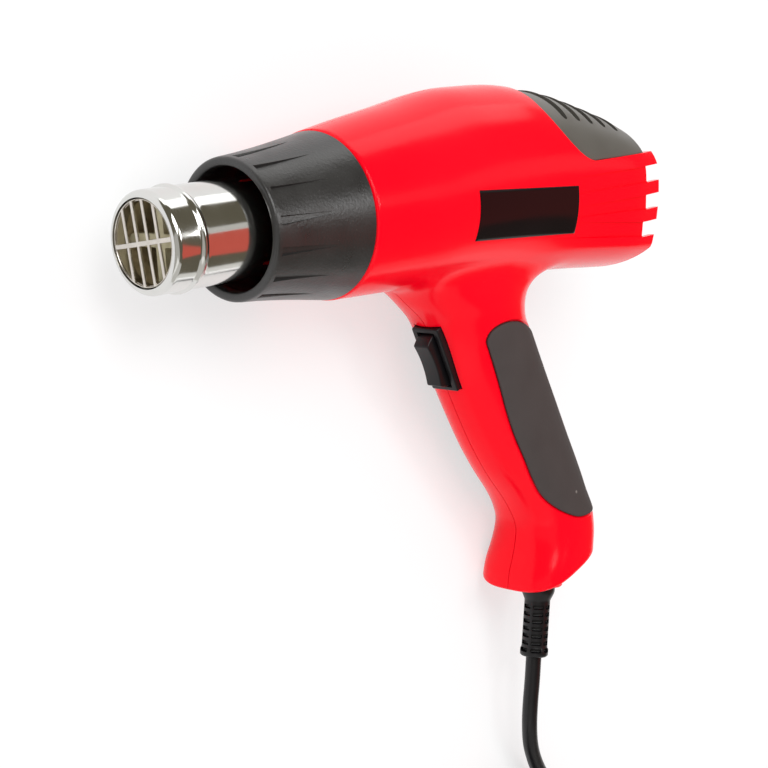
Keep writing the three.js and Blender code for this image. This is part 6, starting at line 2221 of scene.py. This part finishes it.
@dataclass
class Studio:
    """The pale floor, the soft light and the camera."""

    camera_place: Triple = (-0.48357, 0.10074, 0.48821)
    camera_right: Triple = (0.6816, -0.123, 0.7213)
    camera_back: Triple = (-0.7093, 0.1314, 0.6926)
    lens: float = 84.375
    floor_glow: float = 0.6  # how much of the floor that is seen is plain white
    shadow_reach: Pair = (0.45, 1.2)  # where the floor's shading starts to fade, and is gone
    floor_half: float = 4.0
    room_light: float = 0.55
    mirror_light: float = 0.14  # the room's strength where a gloss mirrors it
    mirror_tint: str = "#fff3d2"
    lamps: Sequence[Lamp] = (
        Lamp("key_softbox", (-0.35, 0.75, 1.15), (0, 0.02, 0.02), (0.9, 0.7), 9),
        Lamp("fill_softbox", (-1.2, -0.5, 0.9), (0, 0, 0.02), (1.8, 1.8), 4),
        Lamp("side_softbox", (-0.3, -1.3, 0.55), (0, 0, 0.03), (2.2, 1.4), 5),
        Lamp("sweep_card", (0.35, 1.15, 0.22), (-0.05, 0.08, 0.03), (1.6, 0.4), 3.5),
        Lamp("collar_card", (0.27, 0.22, 0.96), (-0.06, 0.08, 0.035), (0.3, 0.3), 1.5),
        Lamp("white_card", (0.77, 0.2, 0.82), TUBE, (0.2, 0.6), 0.19),
        Lamp("red_card", (0.77, -0.29, 0.815), TUBE, (0.7, 0.6), 0.75, "#ff0c12"),
        Lamp("low_card", (0.77, -0.85, 0.13), TUBE, (1.2, 0.26), 0.7),
    )

    def build(self) -> None:
        """Builds the studio."""
        self.camera()
        self.floor()
        self.world()
        for lamp in self.lamps:
            lamp.build()
        bpy.context.scene.view_settings.view_transform = "Standard"

    def camera(self) -> None:
        """Sets the camera at the photograph's place."""
        data = bpy.data.cameras.new("photo_camera")
        data.lens, data.sensor_width, data.clip_start = self.lens, 36.0, 0.01
        camera = linked("photo_camera", data)
        back = Vector(self.camera_back).normalized()
        up = back.cross(Vector(self.camera_right)).normalized()
        right = up.cross(back)
        turn = Matrix((right, up, back)).transposed().to_4x4()
        camera.matrix_world = Matrix.Translation(self.camera_place) @ turn
        bpy.context.scene.camera = camera

    def floor(self) -> None:
        """Lays the pale floor, which shows white and keeps the object's shadow."""
        half = self.floor_half
        corners = [(-half, -half, 0), (half, -half, 0), (half, half, 0), (-half, half, 0)]
        floor = mesh_piece("bench_top", np.array(corners), [(0, 1, 2, 3)])
        made = bpy.data.materials.new("bench_laminate_white")
        tree = bare_tree(made)
        matt = put(tree, "ShaderNodeBsdfDiffuse", {}, {"Color": linear("#fafafa")})
        white = put(tree, "ShaderNodeEmission", {}, {"Color": linear("#ffffff"), "Strength": 1.0})
        place = put(tree, "ShaderNodeTexCoord", {}, {})
        reach = put(tree, "ShaderNodeVectorMath", {"operation": "LENGTH"}, {0: place.outputs["Object"]})
        glow = ranged(tree, reach.outputs["Value"], *self.shadow_reach, self.floor_glow, 1.0)
        path = put(tree, "ShaderNodeLightPath", {}, {}).outputs
        mirrored = maths(tree, "MAXIMUM", path["Is Glossy Ray"], path["Is Transmission Ray"])
        seen = maths(tree, "MAXIMUM", path["Is Camera Ray"], mirrored)
        share = maths(tree, "MULTIPLY", seen, glow)
        mixed = put(tree, "ShaderNodeMixShader", {}, {0: share, 1: matt.outputs[0], 2: white.outputs[0]})
        put(tree, "ShaderNodeOutputMaterial", {}, {"Surface": mixed.outputs[0]})
        floor.data.materials.append(made)

    def world(self) -> None:
        """Makes the room: white where it is seen, and a dim even light elsewhere."""
        world = bpy.data.worlds.new("room")
        bpy.context.scene.world = world
        tree = bare_tree(world)
        path = put(tree, "ShaderNodeLightPath", {}, {}).outputs
        dim = ranged(tree, path["Is Glossy Ray"], 0.0, 1.0, self.room_light, self.mirror_light)
        strength = ranged(tree, path["Is Camera Ray"], 0.0, 1.0, dim, 1.0)
        tint = blended(tree, path["Is Glossy Ray"], linear("#ffffff"), linear(self.mirror_tint))
        light = put(tree, "ShaderNodeBackground", {}, {"Color": tint, "Strength": strength})
        put(tree, "ShaderNodeOutputWorld", {}, {"Surface": light.outputs[0]})


def dress_solids(frame: dict[str, Any]) -> None:
    """Gives the solids that stay in view their finishes.
    """
    slots = {row["node"]: row["material_slot"] for row in frame["record"]["subparts"]}
    for name, solid in frame["nodes"].items():
        solid.data.materials.clear()
        solid.data.materials.append(SLOT_FINISHES[slots[name]].material())


def main() -> None:
    """Builds the scene."""
    logging.basicConfig(level=logging.INFO, format="%(message)s")
    for thing in list(bpy.data.objects):
        bpy.data.objects.remove(thing)
    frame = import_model()
    dress_solids(frame)
    Studio().build()
    bench = Bench.of(frame)
    barrel, handle, lead = Barrel(), Handle(), Lead()
    FreeLead(bench, lead).build(handle)
    patch, cover, switch = PadPatch(handle), VentCover(bench, barrel), Switch(bench, handle)
    housing = Housing(bench, barrel, handle, lead)
    housing.build(cover, switch, patch)
    Label(bench, barrel).build()
    cover.build()
    switch.build()
    places = housing.bosses()
    Grips(bench, patch).build(places[3:5], housing.head_r + GAP)
    Screws(bench).build(places, housing.head_seat - GAP)
    Guard(bench).build()
    Outlet(bench).build()
    Boot(bench, lead).build(handle)


if __name__ == "__main__":
    main()
